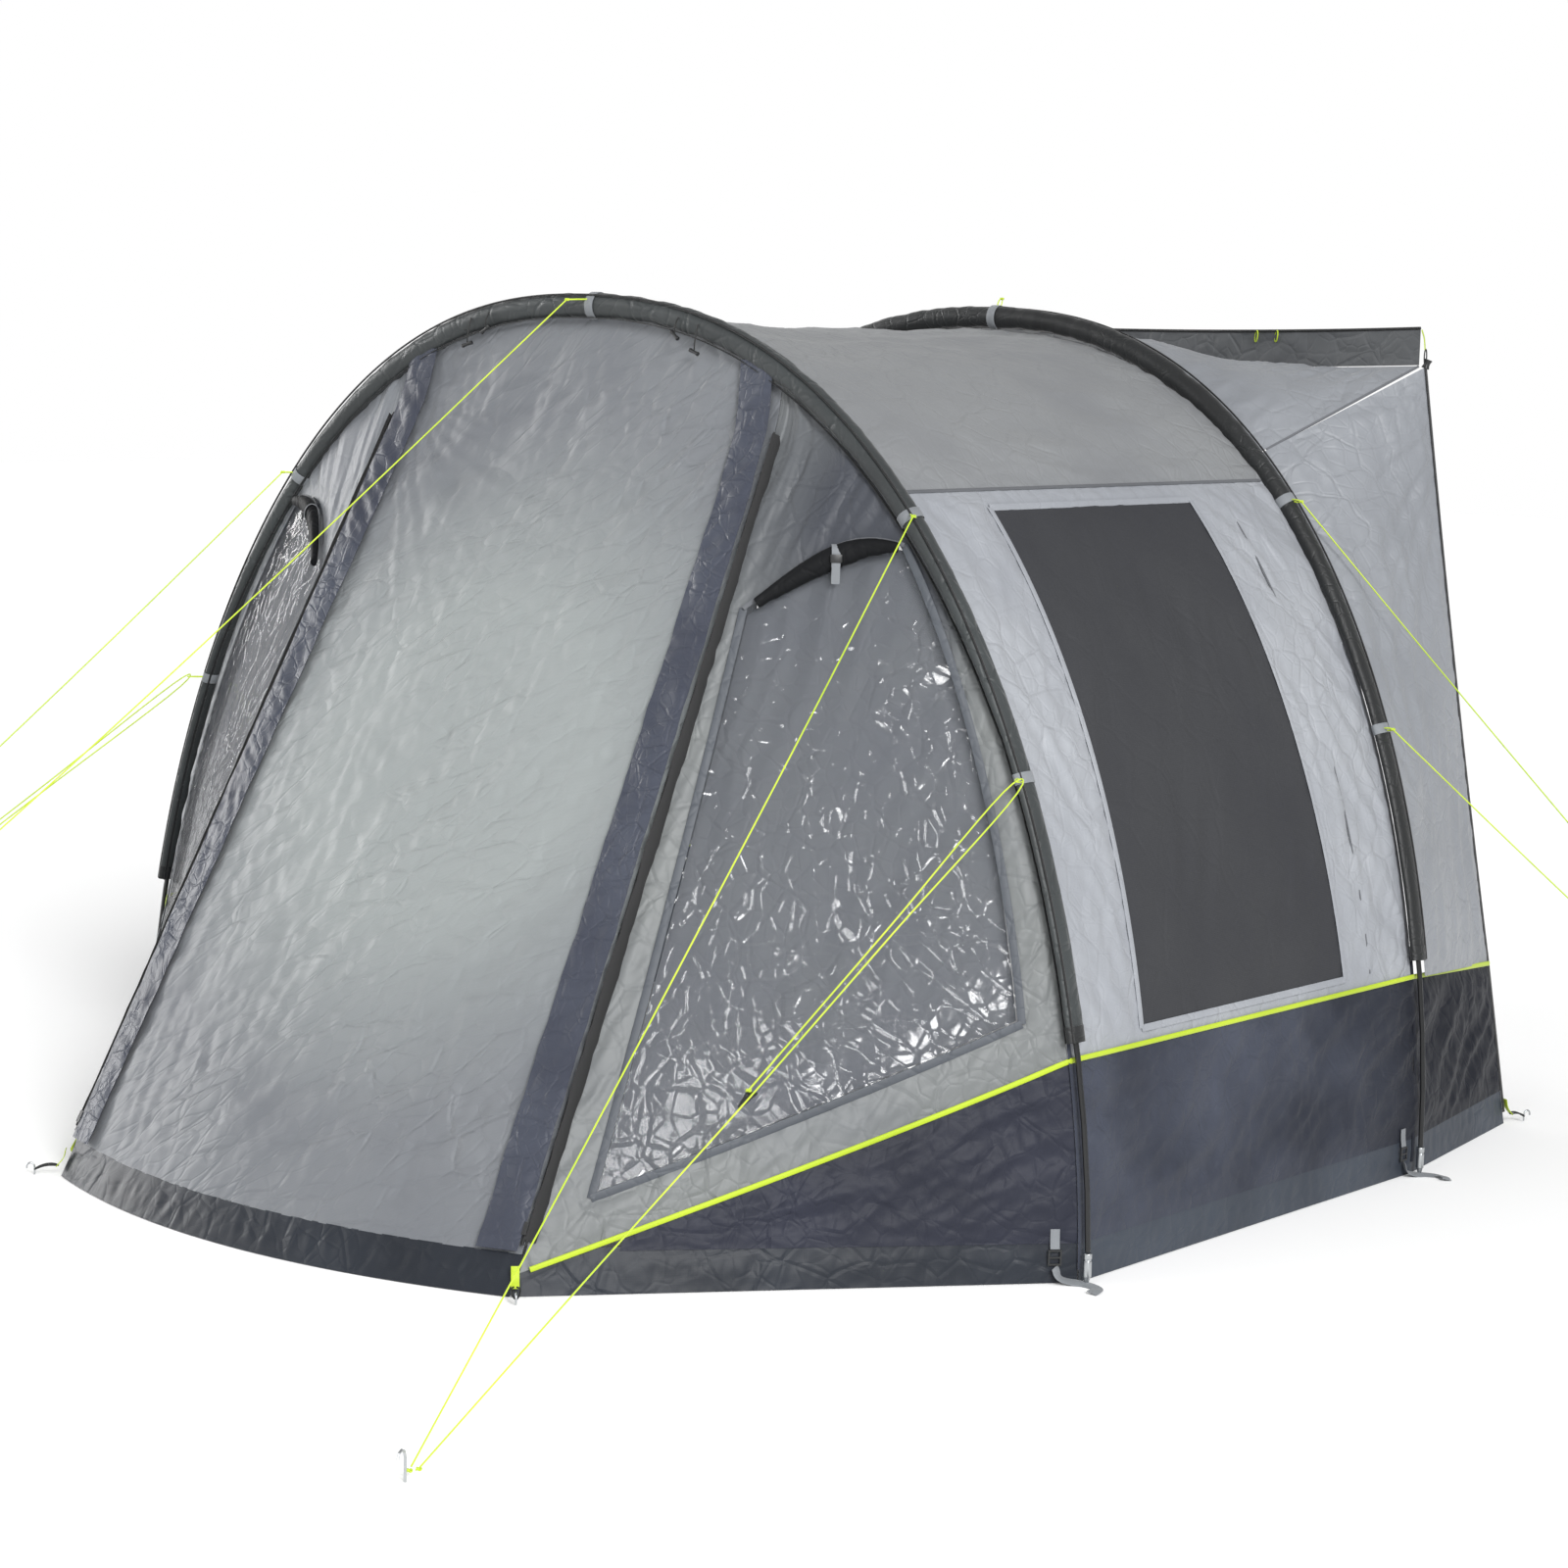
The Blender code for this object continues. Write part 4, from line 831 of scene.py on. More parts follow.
door = {"wrinkles": [("folds", 62, 0.15, 1.1, 0.0060), ("crumple", 0.075, 0.0026),
                     ("folds", 28, 0.07, 0.45, 0.0030), ("folds", 100, 0.05, 0.40, 0.0020),
                     ("fan", (0.0, 1.98), 0.16, 0.55, 0.0110),
                     ("fan", (1.25, 1.98), 0.16, 0.55, 0.0110),
                     ("fan", (0.0, 0.0), 0.16, 0.4, 0.0070),
                     ("fan", (1.42, 0.0), 0.16, 0.4, 0.0070),
                     ("swell", 0.42, 0.0080), ("pucker", 0.030, 0.0045, 0.045)],
        "stripWidth": 0.092, "stripLift": 0.0165}


def frontPlace(share, rise):
    top = heightAt(share * (tent["doorTopHalf"] - tent["arcLimit"])) - tent["gap"]
    return frontSheet(share * 0.997, tent["doorHem"] + 0.002 + (top - tent["doorHem"]) * rise)


panel = makeCloth("doorPanel", stops(-1, 1, step=0.0085, length=0.63),
                  stops(0, 1, step=0.0095, length=2.1), frontPlace, paint["door"],
                  door["wrinkles"], body=None, calm=0.09,
                  replaces=["door_header", "door_panel"])
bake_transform(panel)

for word, side in sides.items():
    def stripPlace(share, rise, side=side):
        top = heightAt(tent["doorTopHalf"] - 0.05) + 0.004
        z = tent["doorHem"] + 0.004 + (top - tent["doorHem"]) * rise
        half = cornerLine(1, z)[..., 0]
        wave = (0.007 * softNoise(rise * 13, share * 0, 3.1 + side)
                + 0.004 * softNoise(rise * 40, share * 0, 6.1 + side))
        off = 0.004 + 0.014 * np.clip(rise - 0.85, 0, 1) / 0.15
        inward = (off + (door["stripWidth"] + wave * 0.5) * (1 - share)
                  + (0.4 * wave + 0.003) * share)
        return frontSheet(side * (half - inward) / half, z)

    strip = makeCloth(f"doorRainFlap{word.title()}", stops(0, 1, step=0.006, length=0.086),
                      stops(0, 1, step=0.008, length=2.05), stripPlace, paint["slateStrip"],
                      [("folds", 35, 0.05, 0.13, 0.0034), ("crumple", 0.05, 0.0014),
                                      ("swell", 0.11, 0.0040), ("pucker", 0.024, 0.0030, 0.03)],
                      calm=0.012, body=None, lift=door["stripLift"],
                      replaces=[f"door_flap_{word}"])
    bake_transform(strip)


def skirtPlace(share, rise):
    return frontSheet(share, tent["groundGap"] + (tent["doorHem"] + 0.002) * rise)


makeCloth("doorMudFlap", stops(-1, 1, step=0.008, length=0.72),
          stops(0, 1, step=0.008, length=0.086), skirtPlace, paint["mudFlap"],
          [("folds", 80, 0.045, 0.12, 0.0034), ("crumple", 0.035, 0.0009),
           ("pucker", 0.028, 0.0022, 0.03)], body="door",
          replaces=["door_skirt"])
print("front is in")


# ---- porch sides

porch = {"windowStart": 0.09, "windowEnd": 0.91, "windowTop": 1.550, "windowTopAt": 0.75,
         "windowArc": 0.365, "sill": (0.190, 0.550), "sillMargin": 0.020, "top": 1.890}


def windowTop(across):
    return porch["windowTop"] - porch["windowArc"] * (across - porch["windowTopAt"]) ** 2


def windowSill(across):
    share = (across - porch["windowStart"]) / (porch["windowEnd"] - porch["windowStart"])
    low = porch["sill"][0] + (porch["sill"][1] - porch["sill"][0]) * share
    return np.maximum(low, porchPiping(across) + porch["sillMargin"])


def porchPlace(side):
    def place(across, row):
        foot = porchPiping(across) + tent["seamGap"]
        sill, top = windowSill(across), windowTop(across)
        z = np.where(row <= 1, foot + (sill - foot) * row,
                     np.where(row <= 2, sill + (top - sill) * (row - 1),
                              top + (porch["top"] - top) * (row - 2)))
        return porchPoint(side, 0.004 + across * 0.992, z)
    return place


for word, side in sides.items():
    sideWord = word.title()
    place = porchPlace(side)
    c0, c1 = porch["windowStart"], porch["windowEnd"]
    makeCloth(f"porchSide{sideWord}", stops(0, c0, c1, 1, step=0.0085, length=1.18),
              np.concatenate((stops(0, 1, step=0.0085, length=0.13),
                              stops(1, 2, step=0.0095, length=1.15)[1:],
                              stops(2, 3, step=0.0085, length=0.38)[1:])),
              place, paint["porch"] if side < 0 else paint["porchRight"],
              [("folds", 75, 0.09, 0.5, 0.0055), ("crumple", 0.07, 0.0020),
               ("fan", (1.0, 1.85), 0.14, 0.6, 0.0120), ("swell", 0.25, 0.0080),
               ("pucker", 0.030, 0.0036, 0.05)],
              hole=(c0, c1, 1, 2), replaces=[f"porch_side_{word}"])
    makeCloth(f"pvcWindow{sideWord}", stops(c0, c1, step=0.010, length=1.18),
              stops(1, 2, step=0.010, length=1.15), place, paint["pvc"],
              [("folds", 20, 0.16, 0.60, 0.0004), ("swell", 0.50, 0.0010)],
              replaces=[f"clear_window_{word}"])
    makeCloth(f"curtain{sideWord}", stops(c0 + 0.01, c1 - 0.01, step=0.010, length=1.18),
              stops(1.01, 1.99, step=0.012, length=1.15), place, paint["curtain"],
              [("folds", 84, 0.11, 1.2, 0.0060), ("crumple", 0.10, 0.0010),
               ("swell", 0.30, 0.0060)],
              lift=-0.024)

    def windowHem(a0, a1, r0, r1, wide, name, material=paint["hem"], proud=0.0042):
        # a folded dark hem along one edge of the window
        share = np.linspace(0, 1, 90)
        path = place(a0 + (a1 - a0) * share, r0 + (r1 - r0) * share)
        out = np.cross(porchPoint(side, 1.0, 0.9) - porchPoint(side, 0.0, 0.9), (0, 0, 1.0)) * side
        out /= np.linalg.norm(out)
        path = path + out * proud
        return sweep(name, path, flatOutline(wide, 0.0016, 3), material, "tent",
                     hint=out)

    windowHem(c0, c0, 1.0, 2.0, 0.018, f"windowHemFront{sideWord}")
    windowHem(c1, c1, 1.0, 2.0, 0.018, f"windowHemRear{sideWord}")
    windowHem(c0, c1, 1.0, 1.0, 0.018, f"windowHemLow{sideWord}")
    windowHem(c0, c1, 2.0, 2.0, 0.010, f"windowHemTop{sideWord}", paint["seam"], 0.012)

    def wallPlace(across, rise, side=side):
        low = tent["flap"] - tent["overlap"]
        return porchPoint(side, across, low + (porchPiping(across) - tent["seamGap"] - low) * rise)

    makeCloth(f"porchLowerWall{sideWord}", stops(0.17, 0.997, step=0.0085, length=1.2),
              stops(0, 1, step=0.0085, length=0.36), wallPlace, paint["slate"],
              [("folds", 25, 0.07, 0.35, 0.0060), ("crumple", 0.055, 0.0028),
               ("swell", 0.16, 0.0070), ("pucker", 0.028, 0.0036, 0.05)],
              replaces=[f"porch_lower_wall_{word}"])

    def flapPlace(across, rise, side=side):
        high = np.minimum(tent["flap"] + tent["overlap"], porchPiping(across) - tent["seamGap"])
        low = tent["groundGap"]
        return porchPoint(side, across, low + (high - low) * rise)

    makeCloth(f"porchMudFlap{sideWord}", stops(0.003, 0.997, step=0.0085, length=1.2),
              stops(0, 1, step=0.008, length=0.086), flapPlace, paint["mudFlap"],
              [("folds", 80, 0.045, 0.12, 0.0034), ("crumple", 0.035, 0.0010),
               ("pucker", 0.028, 0.0022, 0.03)],
              replaces=[f"porch_mud_flap_{word}"],
              lift=-0.002)
print("porch sides are in")


# ---- sides, roof and tunnel

middle = {"windowTop": 1.612, "windowSill": 0.505, "start": (0.19, 0.21), "end": (0.785, 0.74)}


def sidePlace(side):
    def place(column, row):
        low, high = tent["piping"] + tent["seamGap"], tent["roofSeam"]
        z = np.where(row <= 1, low + (middle["windowSill"] - low) * row,
                     np.where(row <= 2, middle["windowSill"]
                              + (middle["windowTop"] - middle["windowSill"]) * (row - 1),
                              middle["windowTop"] + (high - middle["windowTop"]) * (row - 2)))
        rise = (z - low) / (high - low)
        first = middle["start"][0] + (middle["start"][1] - middle["start"][0]) * rise
        last = middle["end"][0] + (middle["end"][1] - middle["end"][0]) * rise
        across = np.where(column <= 1, first * column,
                          np.where(column <= 2, first + (last - first) * (column - 1),
                                   last + (1 - last) * (column - 2)))
        return sidePoint(side, across, z)
    return place


sideRows = np.concatenate((stops(0, 1, step=0.0085, length=0.03),
                           stops(1, 2, step=0.0095, length=1.25)[1:],
                           stops(2, 3, step=0.0085, length=0.05)[1:]))
for word, side in sides.items():
    sideWord = word.title()
    place = sidePlace(side)
    makeCloth(f"sideWall{sideWord}",
              np.concatenate((stops(0, 1, step=0.008, length=0.28),
                              stops(1, 2, step=0.0095, length=0.80)[1:],
                              stops(2, 3, step=0.008, length=0.34)[1:])),
              sideRows, place, paint["side"],
              [("folds", 115, 0.075, 0.30, 0.0060), ("folds", 70, 0.06, 0.25, 0.0036),
               ("crumple", 0.06, 0.0018), ("swell", 0.20, 0.0060), ("pucker", 0.030, 0.0036, 0.05)],
              hole=(1, 2, 1, 2),
              replaces=[f"side_wall_{word}"])
    makeCloth(f"meshWindow{sideWord}", stops(1, 2, step=0.010, length=0.80),
              stops(1, 2, step=0.010, length=1.25), place, paint["mesh"],
              [("folds", 62, 0.10, 0.45, 0.0040), ("swell", 0.22, 0.0060),
               ("pucker", 0.045, 0.0030, 0.06)],
              replaces=[f"mesh_window_{word}"], thickness=0.0005)

    def wallPlace(across, rise, side=side):
        low = tent["flap"] - tent["overlap"]
        return sidePoint(side, across, low + (sidePiping(across) - tent["seamGap"] - low) * rise)

    lengthwise = np.concatenate((stops(0.002, 1, step=0.009, length=1.42),
                                 stops(1, 1.998, step=0.009, length=0.70)[1:]))
    makeCloth(f"sideLowerWall{sideWord}", lengthwise,
              stops(0, 1, step=0.0085, length=0.36), wallPlace, paint["slateSide"],
              [("folds", 30, 0.09, 0.40, 0.0070), ("crumple", 0.06, 0.0030),
               ("swell", 0.18, 0.0090), ("pucker", 0.028, 0.0036, 0.05)],
              replaces=[f"side_lower_wall_{word}"])

    def flapPlace(across, rise, side=side):
        return sidePoint(side, across, tent["groundGap"] + (tent["flap"] + 0.0025) * rise)

    makeCloth(f"sideMudFlap{sideWord}", lengthwise,
              stops(0, 1, step=0.008, length=0.086), flapPlace, paint["mudFlapSide"],
              [("folds", 80, 0.045, 0.12, 0.0034), ("crumple", 0.035, 0.0009),
               ("pucker", 0.028, 0.0022, 0.03)],
              replaces=[f"side_mud_flap_{word}"],
              lift=-0.002)

roofX, roofZ = archLine(tent["roofSeam"], 300)


def roofPlace(column, back):
    x = np.interp(column, np.arange(len(roofX)), roofX)
    z = np.interp(column, np.arange(len(roofX)), roofZ)
    point = mix(at(x, frontY(z), z), at(x, rearY(z), z), back)
    flat = (z - tent["roofSeam"]) / (tent["archHeight"] - tent["roofSeam"])
    point[..., 2] -= tent["roofSag"] * flat * 4 * back * (1 - back)
    point[..., 2] -= np.clip(flat, 0, 1) * (0.012 + 0.020 * back)
    return point


makeCloth("roof", np.arange(0, 300, 1.0), stops(0.001, 0.999, step=0.010, length=1.44), roofPlace,
          paint["roof"],
          [("folds", 88, 0.15, 0.9, 0.0050), ("folds", 62, 0.10, 0.5, 0.0030),
           ("crumple", 0.075, 0.0010), ("swell", 0.35, 0.0070), ("pucker", 0.034, 0.0050, 0.07)],
          replaces=["roof"])

tunnel = {"roofWrinkles": [("folds", 80, 0.08, 0.5, 0.0070), ("crumple", 0.07, 0.0016),
                           ("fan", (2.35, 0.6), 0.10, 0.6, 0.016), ("swell", 0.22, 0.0080),
                           ("pucker", 0.030, 0.0036, 0.05)],
          "sideWrinkles": [("folds", 85, 0.10, 0.8, 0.0060),
                           ("fan", (0.66, 1.45), 0.12, 0.6, 0.018),
                           ("crumple", 0.075, 0.0020), ("swell", 0.25, 0.0090),
                           ("pucker", 0.030, 0.0036, 0.05)]}
hipX, hipZ = archLine(tent["hip"], 260, inset=0.0)


def tunnelRoofPlace(column, back):
    x = np.interp(column, np.arange(len(hipX)), hipX)
    z = np.interp(column, np.arange(len(hipX)), hipZ)
    start = at(x, rearY(z) + tent["sleeveHalf"] + 0.002, z)
    return mix(start, tunnelTop(x / hipX[0], tent["strip"]), back)


makeCloth("tunnelRoof", np.arange(0, 260, 1.0), stops(0.003, 0.997, step=0.010, length=0.6),
          tunnelRoofPlace, paint["tunnel"], tunnel["roofWrinkles"],
          replaces=["tunnel_roof"])
for word, side in sides.items():
    def tunnelSidePlace(across, rise, side=side):
        low = tent["piping"] + tent["seamGap"]
        z = low + (tent["hip"] - low) * rise
        start = at(side * halfWidth(z, 0.0), rearY(z) + tent["sleeveHalf"] + 0.002, z)
        low = tent["pipingTunnel"] + tent["seamGap"]
        high = tent["tunnelTop"] - tent["strip"]
        point = mix(start, tunnelEdge(side, low + (high - low) * rise), across)
        point[..., 1] -= 0.013 * across ** 2 * 4 * rise * (1 - rise)   # its free edge bows in
        return point

    makeCloth(f"tunnelSide{word.title()}", stops(0.003, 0.998, step=0.009, length=0.66),
              stops(0, 0.998, step=0.0095, length=1.50), tunnelSidePlace, paint["tunnel"],
              tunnel["sideWrinkles"],
              replaces=[f"tunnel_side_{word}"])


def stripPlace(across, rise):
    # held up at its right corner; towards the left it flops back
    foot = tunnelTop(across, tent["strip"] - 0.002)
    high = (tent["strip"] - 0.003) * rise
    lean = np.radians(78) * np.clip((0.15 - across) / 1.15, 0, 1) ** 1.3
    foot[..., 1] += (0.010 * np.sin(9 * across) * rise ** 2 * np.clip(0.9 - across, 0, 1)
                     + high * np.sin(lean))
    foot[..., 2] += high * np.cos(lean)
    return foot


makeCloth("vehicleStrip", stops(-0.999, 0.999, step=0.010, length=1.03),
          stops(0, 1, step=0.008, length=0.09), stripPlace, paint["strip"],
          [("folds", 70, 0.05, 0.10, 0.0022), ("crumple", 0.04, 0.0010), ("swell", 0.12, 0.0050),
           ("pucker", 0.03, 0.0020, 0.03)], replaces=["vehicle_strip"],
          calm=0.012)
beadShare = np.linspace(-0.998, 0.998, 160)
sweep("vehicleBeading", stripPlace(beadShare, np.full(160, 1.03)), roundOutline(0.008, count=10),
      paint["blackWebbing"], "tent")
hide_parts("vehicle_beading")
print("sides, roof and tunnel are in")


# ---- pole sleeves

sleeve = {"wide": 0.055, "deep": 0.025, "end": 0.516, "crown": 1.25, "edgeCord": 0.0050,
          "bandWide": 0.025, "bandThick": 0.0018}
archY = {"front": frontY, "rear": rearY}


def archPath(word, low, count, inset=0.0):
    x, z = archLine(low, count, inset=inset)
    return at(x, archY[word](z), z)


def archOut(path):
    # the way out from the arch, square to it and in its plane
    lean = np.gradient(path, axis=0)
    out = np.cross(lean, (0, 1.0, 0))
    out /= np.linalg.norm(out, axis=1, keepdims=True)
    return out * np.sign((out * (path - np.array((0, 0.2, 0.6)))).sum(axis=1, keepdims=True))


for word in ("front", "rear"):
    path = archPath(word, sleeve["end"], 560)
    out = archOut(path)
    s = np.arange(560) * 0.008
    grow = np.stack((1 + 0.05 * softNoise(s / 0.09, s * 0, 1.7)
                     + 0.02 * softNoise(s / 0.022, s * 0, 5),
                     1 + 0.10 * softNoise(s / 0.07, s * 0, 2.9)
                     + 0.05 * softNoise(s / 0.025, s * 0, 6)), axis=-1)
    deepen = 0.5 * sleeve["crown"] * np.clip((path[:, 2] - 1.15) / 0.75, 0, 1) ** 0.8
    grow[:, 1] *= 1 + 2 * deepen
    body = path - out * (deepen * sleeve["deep"])[:, None]
    # the front sleeve takes the charcoal copy of its black cloth, painted paler as painted light
    tube = sweep(f"{word}Sleeve", body, roundOutline(sleeve["wide"], sleeve["deep"], 20),
                 paint["litSleeve" if word == "front" else "sleeve"], "tent", hint=out,
                 grow=grow)
    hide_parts(f"{word}_sleeve")
    front = -1 if word == "front" else 1
    edge = path + out * 0.0095 + np.array((0, front * 0.0215, 0))
    sweep(f"{word}SleevePiping", edge, roundOutline(sleeve["edgeCord"], count=8),
          paint["blackWebbing"], "tent", hint=out)
    inner = (path - out * (0.0125 + 2 * deepen * sleeve["deep"])[:, None]
             + np.array((0, front * 0.018, 0)))
    sweep(f"{word}SleeveSeam", inner, flatOutline(0.010, 0.0022, 3), paint["sleeve"], "tent",
          hint=out)
    for side in (1, -1):
        end = path[:5] if side > 0 else path[-5:]
        sweep(f"{word}SleeveHem{'Right' if side > 0 else 'Left'}", end,
              roundOutline(sleeve["wide"] + 0.003, sleeve["deep"] + 0.003, 20), paint["sleeve"],
              "tent", hint=archOut(path)[:5] if side > 0 else archOut(path)[-5:])

    # grey webbing bands, each with the lime loop that a guy line starts from
    for name, x, z, start in (("Apex", 0.0, None, (-0.012, -0.535, 2.052)),
                              ("UpperRight", 1, 1.606, (1.002, -0.512, 1.606)),
                              ("UpperLeft", -1, 1.606, (-1.002, -0.512, 1.606)),
                              ("LowerRight", 1, 1.062, (1.322, -0.542, 1.064)),
                              ("LowerLeft", -1, 1.062, (-1.322, -0.542, 1.064))):
        if word == "rear":
            start = {"Apex": None, "UpperRight": (1.018, 1.045, 1.604),
                     "LowerRight": (1.334, 1.000, 1.066)}.get(name)
        height = float(heightAt(0.0, 0.0)) - 1e-4 if z is None else z
        k = int(np.argmin(np.abs(path[:, 2] - height) + (path[:, 0] * (x or 0) < 0) * 9))
        centre, radial = path[k], out[k]
        turn = np.linspace(0, 2 * math.pi, 41)
        way = (np.cos(turn)[:, None] * np.array((0, 1.0, 0)) * (sleeve["wide"] / 2 + 0.002)
               + np.sin(turn)[:, None] * radial * (sleeve["deep"] / 2 * grow[k, 1] + 0.0025))
        sweep(f"{word}Band{name}", body[k] + way,
              flatOutline(sleeve["bandWide"], sleeve["bandThick"], 3), paint["greyWebbing"],
              "tent", hint=way, closed=True)
        target = (np.array(start) if start is not None
                  else centre + radial * 0.034 + np.array((0, front * 0.020, 0)))
        reach = target - centre
        sideways = np.cross(reach, (0.2, 0.5, 0.9))
        sideways /= np.linalg.norm(sideways)
        ring = (centre + reach * (0.62 + 0.40 * np.cos(turn))[:, None]
                + sideways * (0.0065 * np.sin(turn))[:, None])
        sweep(f"{word}Loop{name}", ring, roundOutline(guyLines["diameter"], count=6), paint["cord"],
              "tent", closed=True)
        if start is None:
            makeKnot(f"{word}LoopKnot{name}", target, "tent")
print("sleeves are in")


# ---- zips, piping, seams and window covers

zips = {"low": 0.110, "high": 1.770, "out": (0.003, -0.009), "tape": 0.026, "coil": 0.0062,
        "pitch": 0.0025}
for word, side in sides.items():
    sideWord = word.title()
    z = np.linspace(zips["low"], zips["high"], int(1.9 / zips["pitch"]))
    drop = 1 - z / tent["doorTop"]
    x = tent["doorTopHalf"] + (tent["cornerHalf"] - tent["doorTopHalf"]) * drop + zips["out"][0]
    y = (tent["frontFootY"] + tent["doorTopBack"] + zips["out"][1]
         - (tent["porchDepth"] + tent["doorTopBack"]) * drop)
    line = at(side * x, y, z)
    bumps = np.where(np.arange(len(z)) % 2, 1.0, 0.72)
    coil = sweep(f"zipCoil{sideWord}", line, roundOutline(zips["coil"], count=6),
                 paint["nylon"], "tent", hint=(0, -1, 0.5), grow=bumps, smooth=30)
    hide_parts(f"zip_{word}")
    lean = np.array((side * 0.80, -0.42, 0.0))           # half way round the corner
    few = line[::12]
    wave = (1 + 0.34 * softNoise(np.arange(len(few)) * 0.28, np.zeros(len(few)), side + 8.0)
            + 0.22 * softNoise(np.arange(len(few)) * 0.75, np.zeros(len(few)), side + 5.0))
    # a wavy black band beside each rain flap: partly the zip's tape, partly a painted shadow of the
    # flap's edge, so its width wanders
    tape = few + np.array((side * 0.010, 0.0045, 0))
    sweep(f"zipTapeAndFlapShadow{sideWord}", tape, flatOutline(zips["tape"], 0.0014, 3), paint["blackWebbing"],
          "tent", hint=lean, grow=np.stack((wave, np.ones(len(few))), axis=-1))

    points = []
    for start, end, place, level in ((0.02, 0.99, porchPoint, porchPiping),
                                     (0.01, 0.99, sidePoint, sidePiping),
                                     (1.02, 1.992, sidePoint, sidePiping)):
        share = np.linspace(start, end, 14)
        found = place(side, share, level(share))
        run = found[-1] - found[0]
        away = np.array((run[1], -run[0], 0)) / math.hypot(run[0], run[1]) * side * 0.0042
        points += list(found + away)
    points = smoothRoute(points, 220)
    run = np.gradient(points, axis=0)
    away = np.stack((run[:, 1], -run[:, 0], 0 * run[:, 0]), axis=-1) * side
    piping = sweep(f"limePiping{sideWord}", points, flatOutline(0.0125, 0.0064, 4), paint["lime"],
                   "tent", hint=away)
    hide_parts(f"piping_{word}")

    # the rolled cover over the clear window, swollen in its middle into a crescent: the roll is
    # real, and its size and charcoal colour are painted shade for the dark pocket under the flap
    share = np.linspace(0.14, 0.86, 90)
    leg, corner = frontLeg(side, 0.475), cornerLine(side, 0.475)
    run = leg - corner
    away = np.array((run[1], -run[0], 0)) / math.hypot(run[0], run[1]) * side
    roll = porchPoint(side, share, windowTop(share) - 0.010) + away * 0.0185
    s = share * 0.9
    grow = (0.75 + 0.95 * np.sin(math.pi * np.linspace(0, 1, 90))
            + 0.10 * softNoise(s / 0.05, s * 0, 4.4)
            + 0.05 * softNoise(s / 0.018, s * 0, 7.0))
    roll = roll - np.array((0, 0, 1.0)) * (0.011 * (grow - 0.75))[:, None]
    cover = sweep(f"coverRoll{sideWord}", roll, roundOutline(0.0200, 0.0300, 16), paint["cover"],
                  "tent", grow=grow, hint=(0, 0, 1))
    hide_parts(f"window_cover_roll_{word}")
    for number, share in enumerate((0.52,)):
        k = int(round(share * 89))
        turn = np.linspace(0, 2 * math.pi, 33)
        big = 0.0100 * grow[k] + 0.0018
        tall = 0.0150 * grow[k] + 0.0018
        way = (np.cos(turn)[:, None] * away * big
               + np.sin(turn)[:, None] * np.array((0, 0, 1.0)) * tall)
        sweep(f"coverStrap{sideWord}{number}", roll[k] + way, flatOutline(0.020, 0.0015, 3),
              paint["greyWebbing"], "tent", hint=way, closed=True)
        tail = [roll[k] + away * (big + 0.002) + np.array((0, 0, 0.006)),
                roll[k] + away * (big + 0.002) + np.array((0, 0, -0.014)),
                roll[k] + away * (big - 0.002) + np.array((0, 0, -0.036)),
                roll[k] + away * (big - 0.006) + np.array((0, 0, -0.058))]
        sweep(f"coverStrapTail{sideWord}{number}", smoothRoute(tail, 16),
              flatOutline(0.019, 0.0013, 3), paint["greyWebbing"], "tent",
              hint=away)
        deselectAll()
        bpy.ops.mesh.primitive_cube_add(size=1)
        clip = bpy.context.object                        # a moulded side-release buckle
        bpy.ops.object.mode_set(mode="EDIT")
        bpy.ops.transform.resize(value=(0.026, 0.006, 0.018))
        bpy.ops.mesh.bevel(offset=0.0018, segments=2, affect="EDGES")
        bpy.ops.object.mode_set(mode="OBJECT")
        turnTo = Matrix((Vector(run / np.linalg.norm(run)), Vector(away),
                         Vector((0, 0, 1)))).transposed()
        spot = roll[k] + away * (big + 0.004) + np.array((0, 0, -0.002))
        clip.data.transform(Matrix.Translation(Vector(spot)) @ turnTo.to_4x4())
        bpy.ops.object.shade_smooth_by_angle(angle=math.radians(35))
        finishPiece(clip, f"coverBuckle{sideWord}{number}", paint["acetal"], "tent")


def seamTape(name, path, out, wide, material, rise=0.0016):
    return sweep(name, path + np.asarray(out) * rise, flatOutline(wide, 0.0014, 3), material,
                 "tent", hint=out)


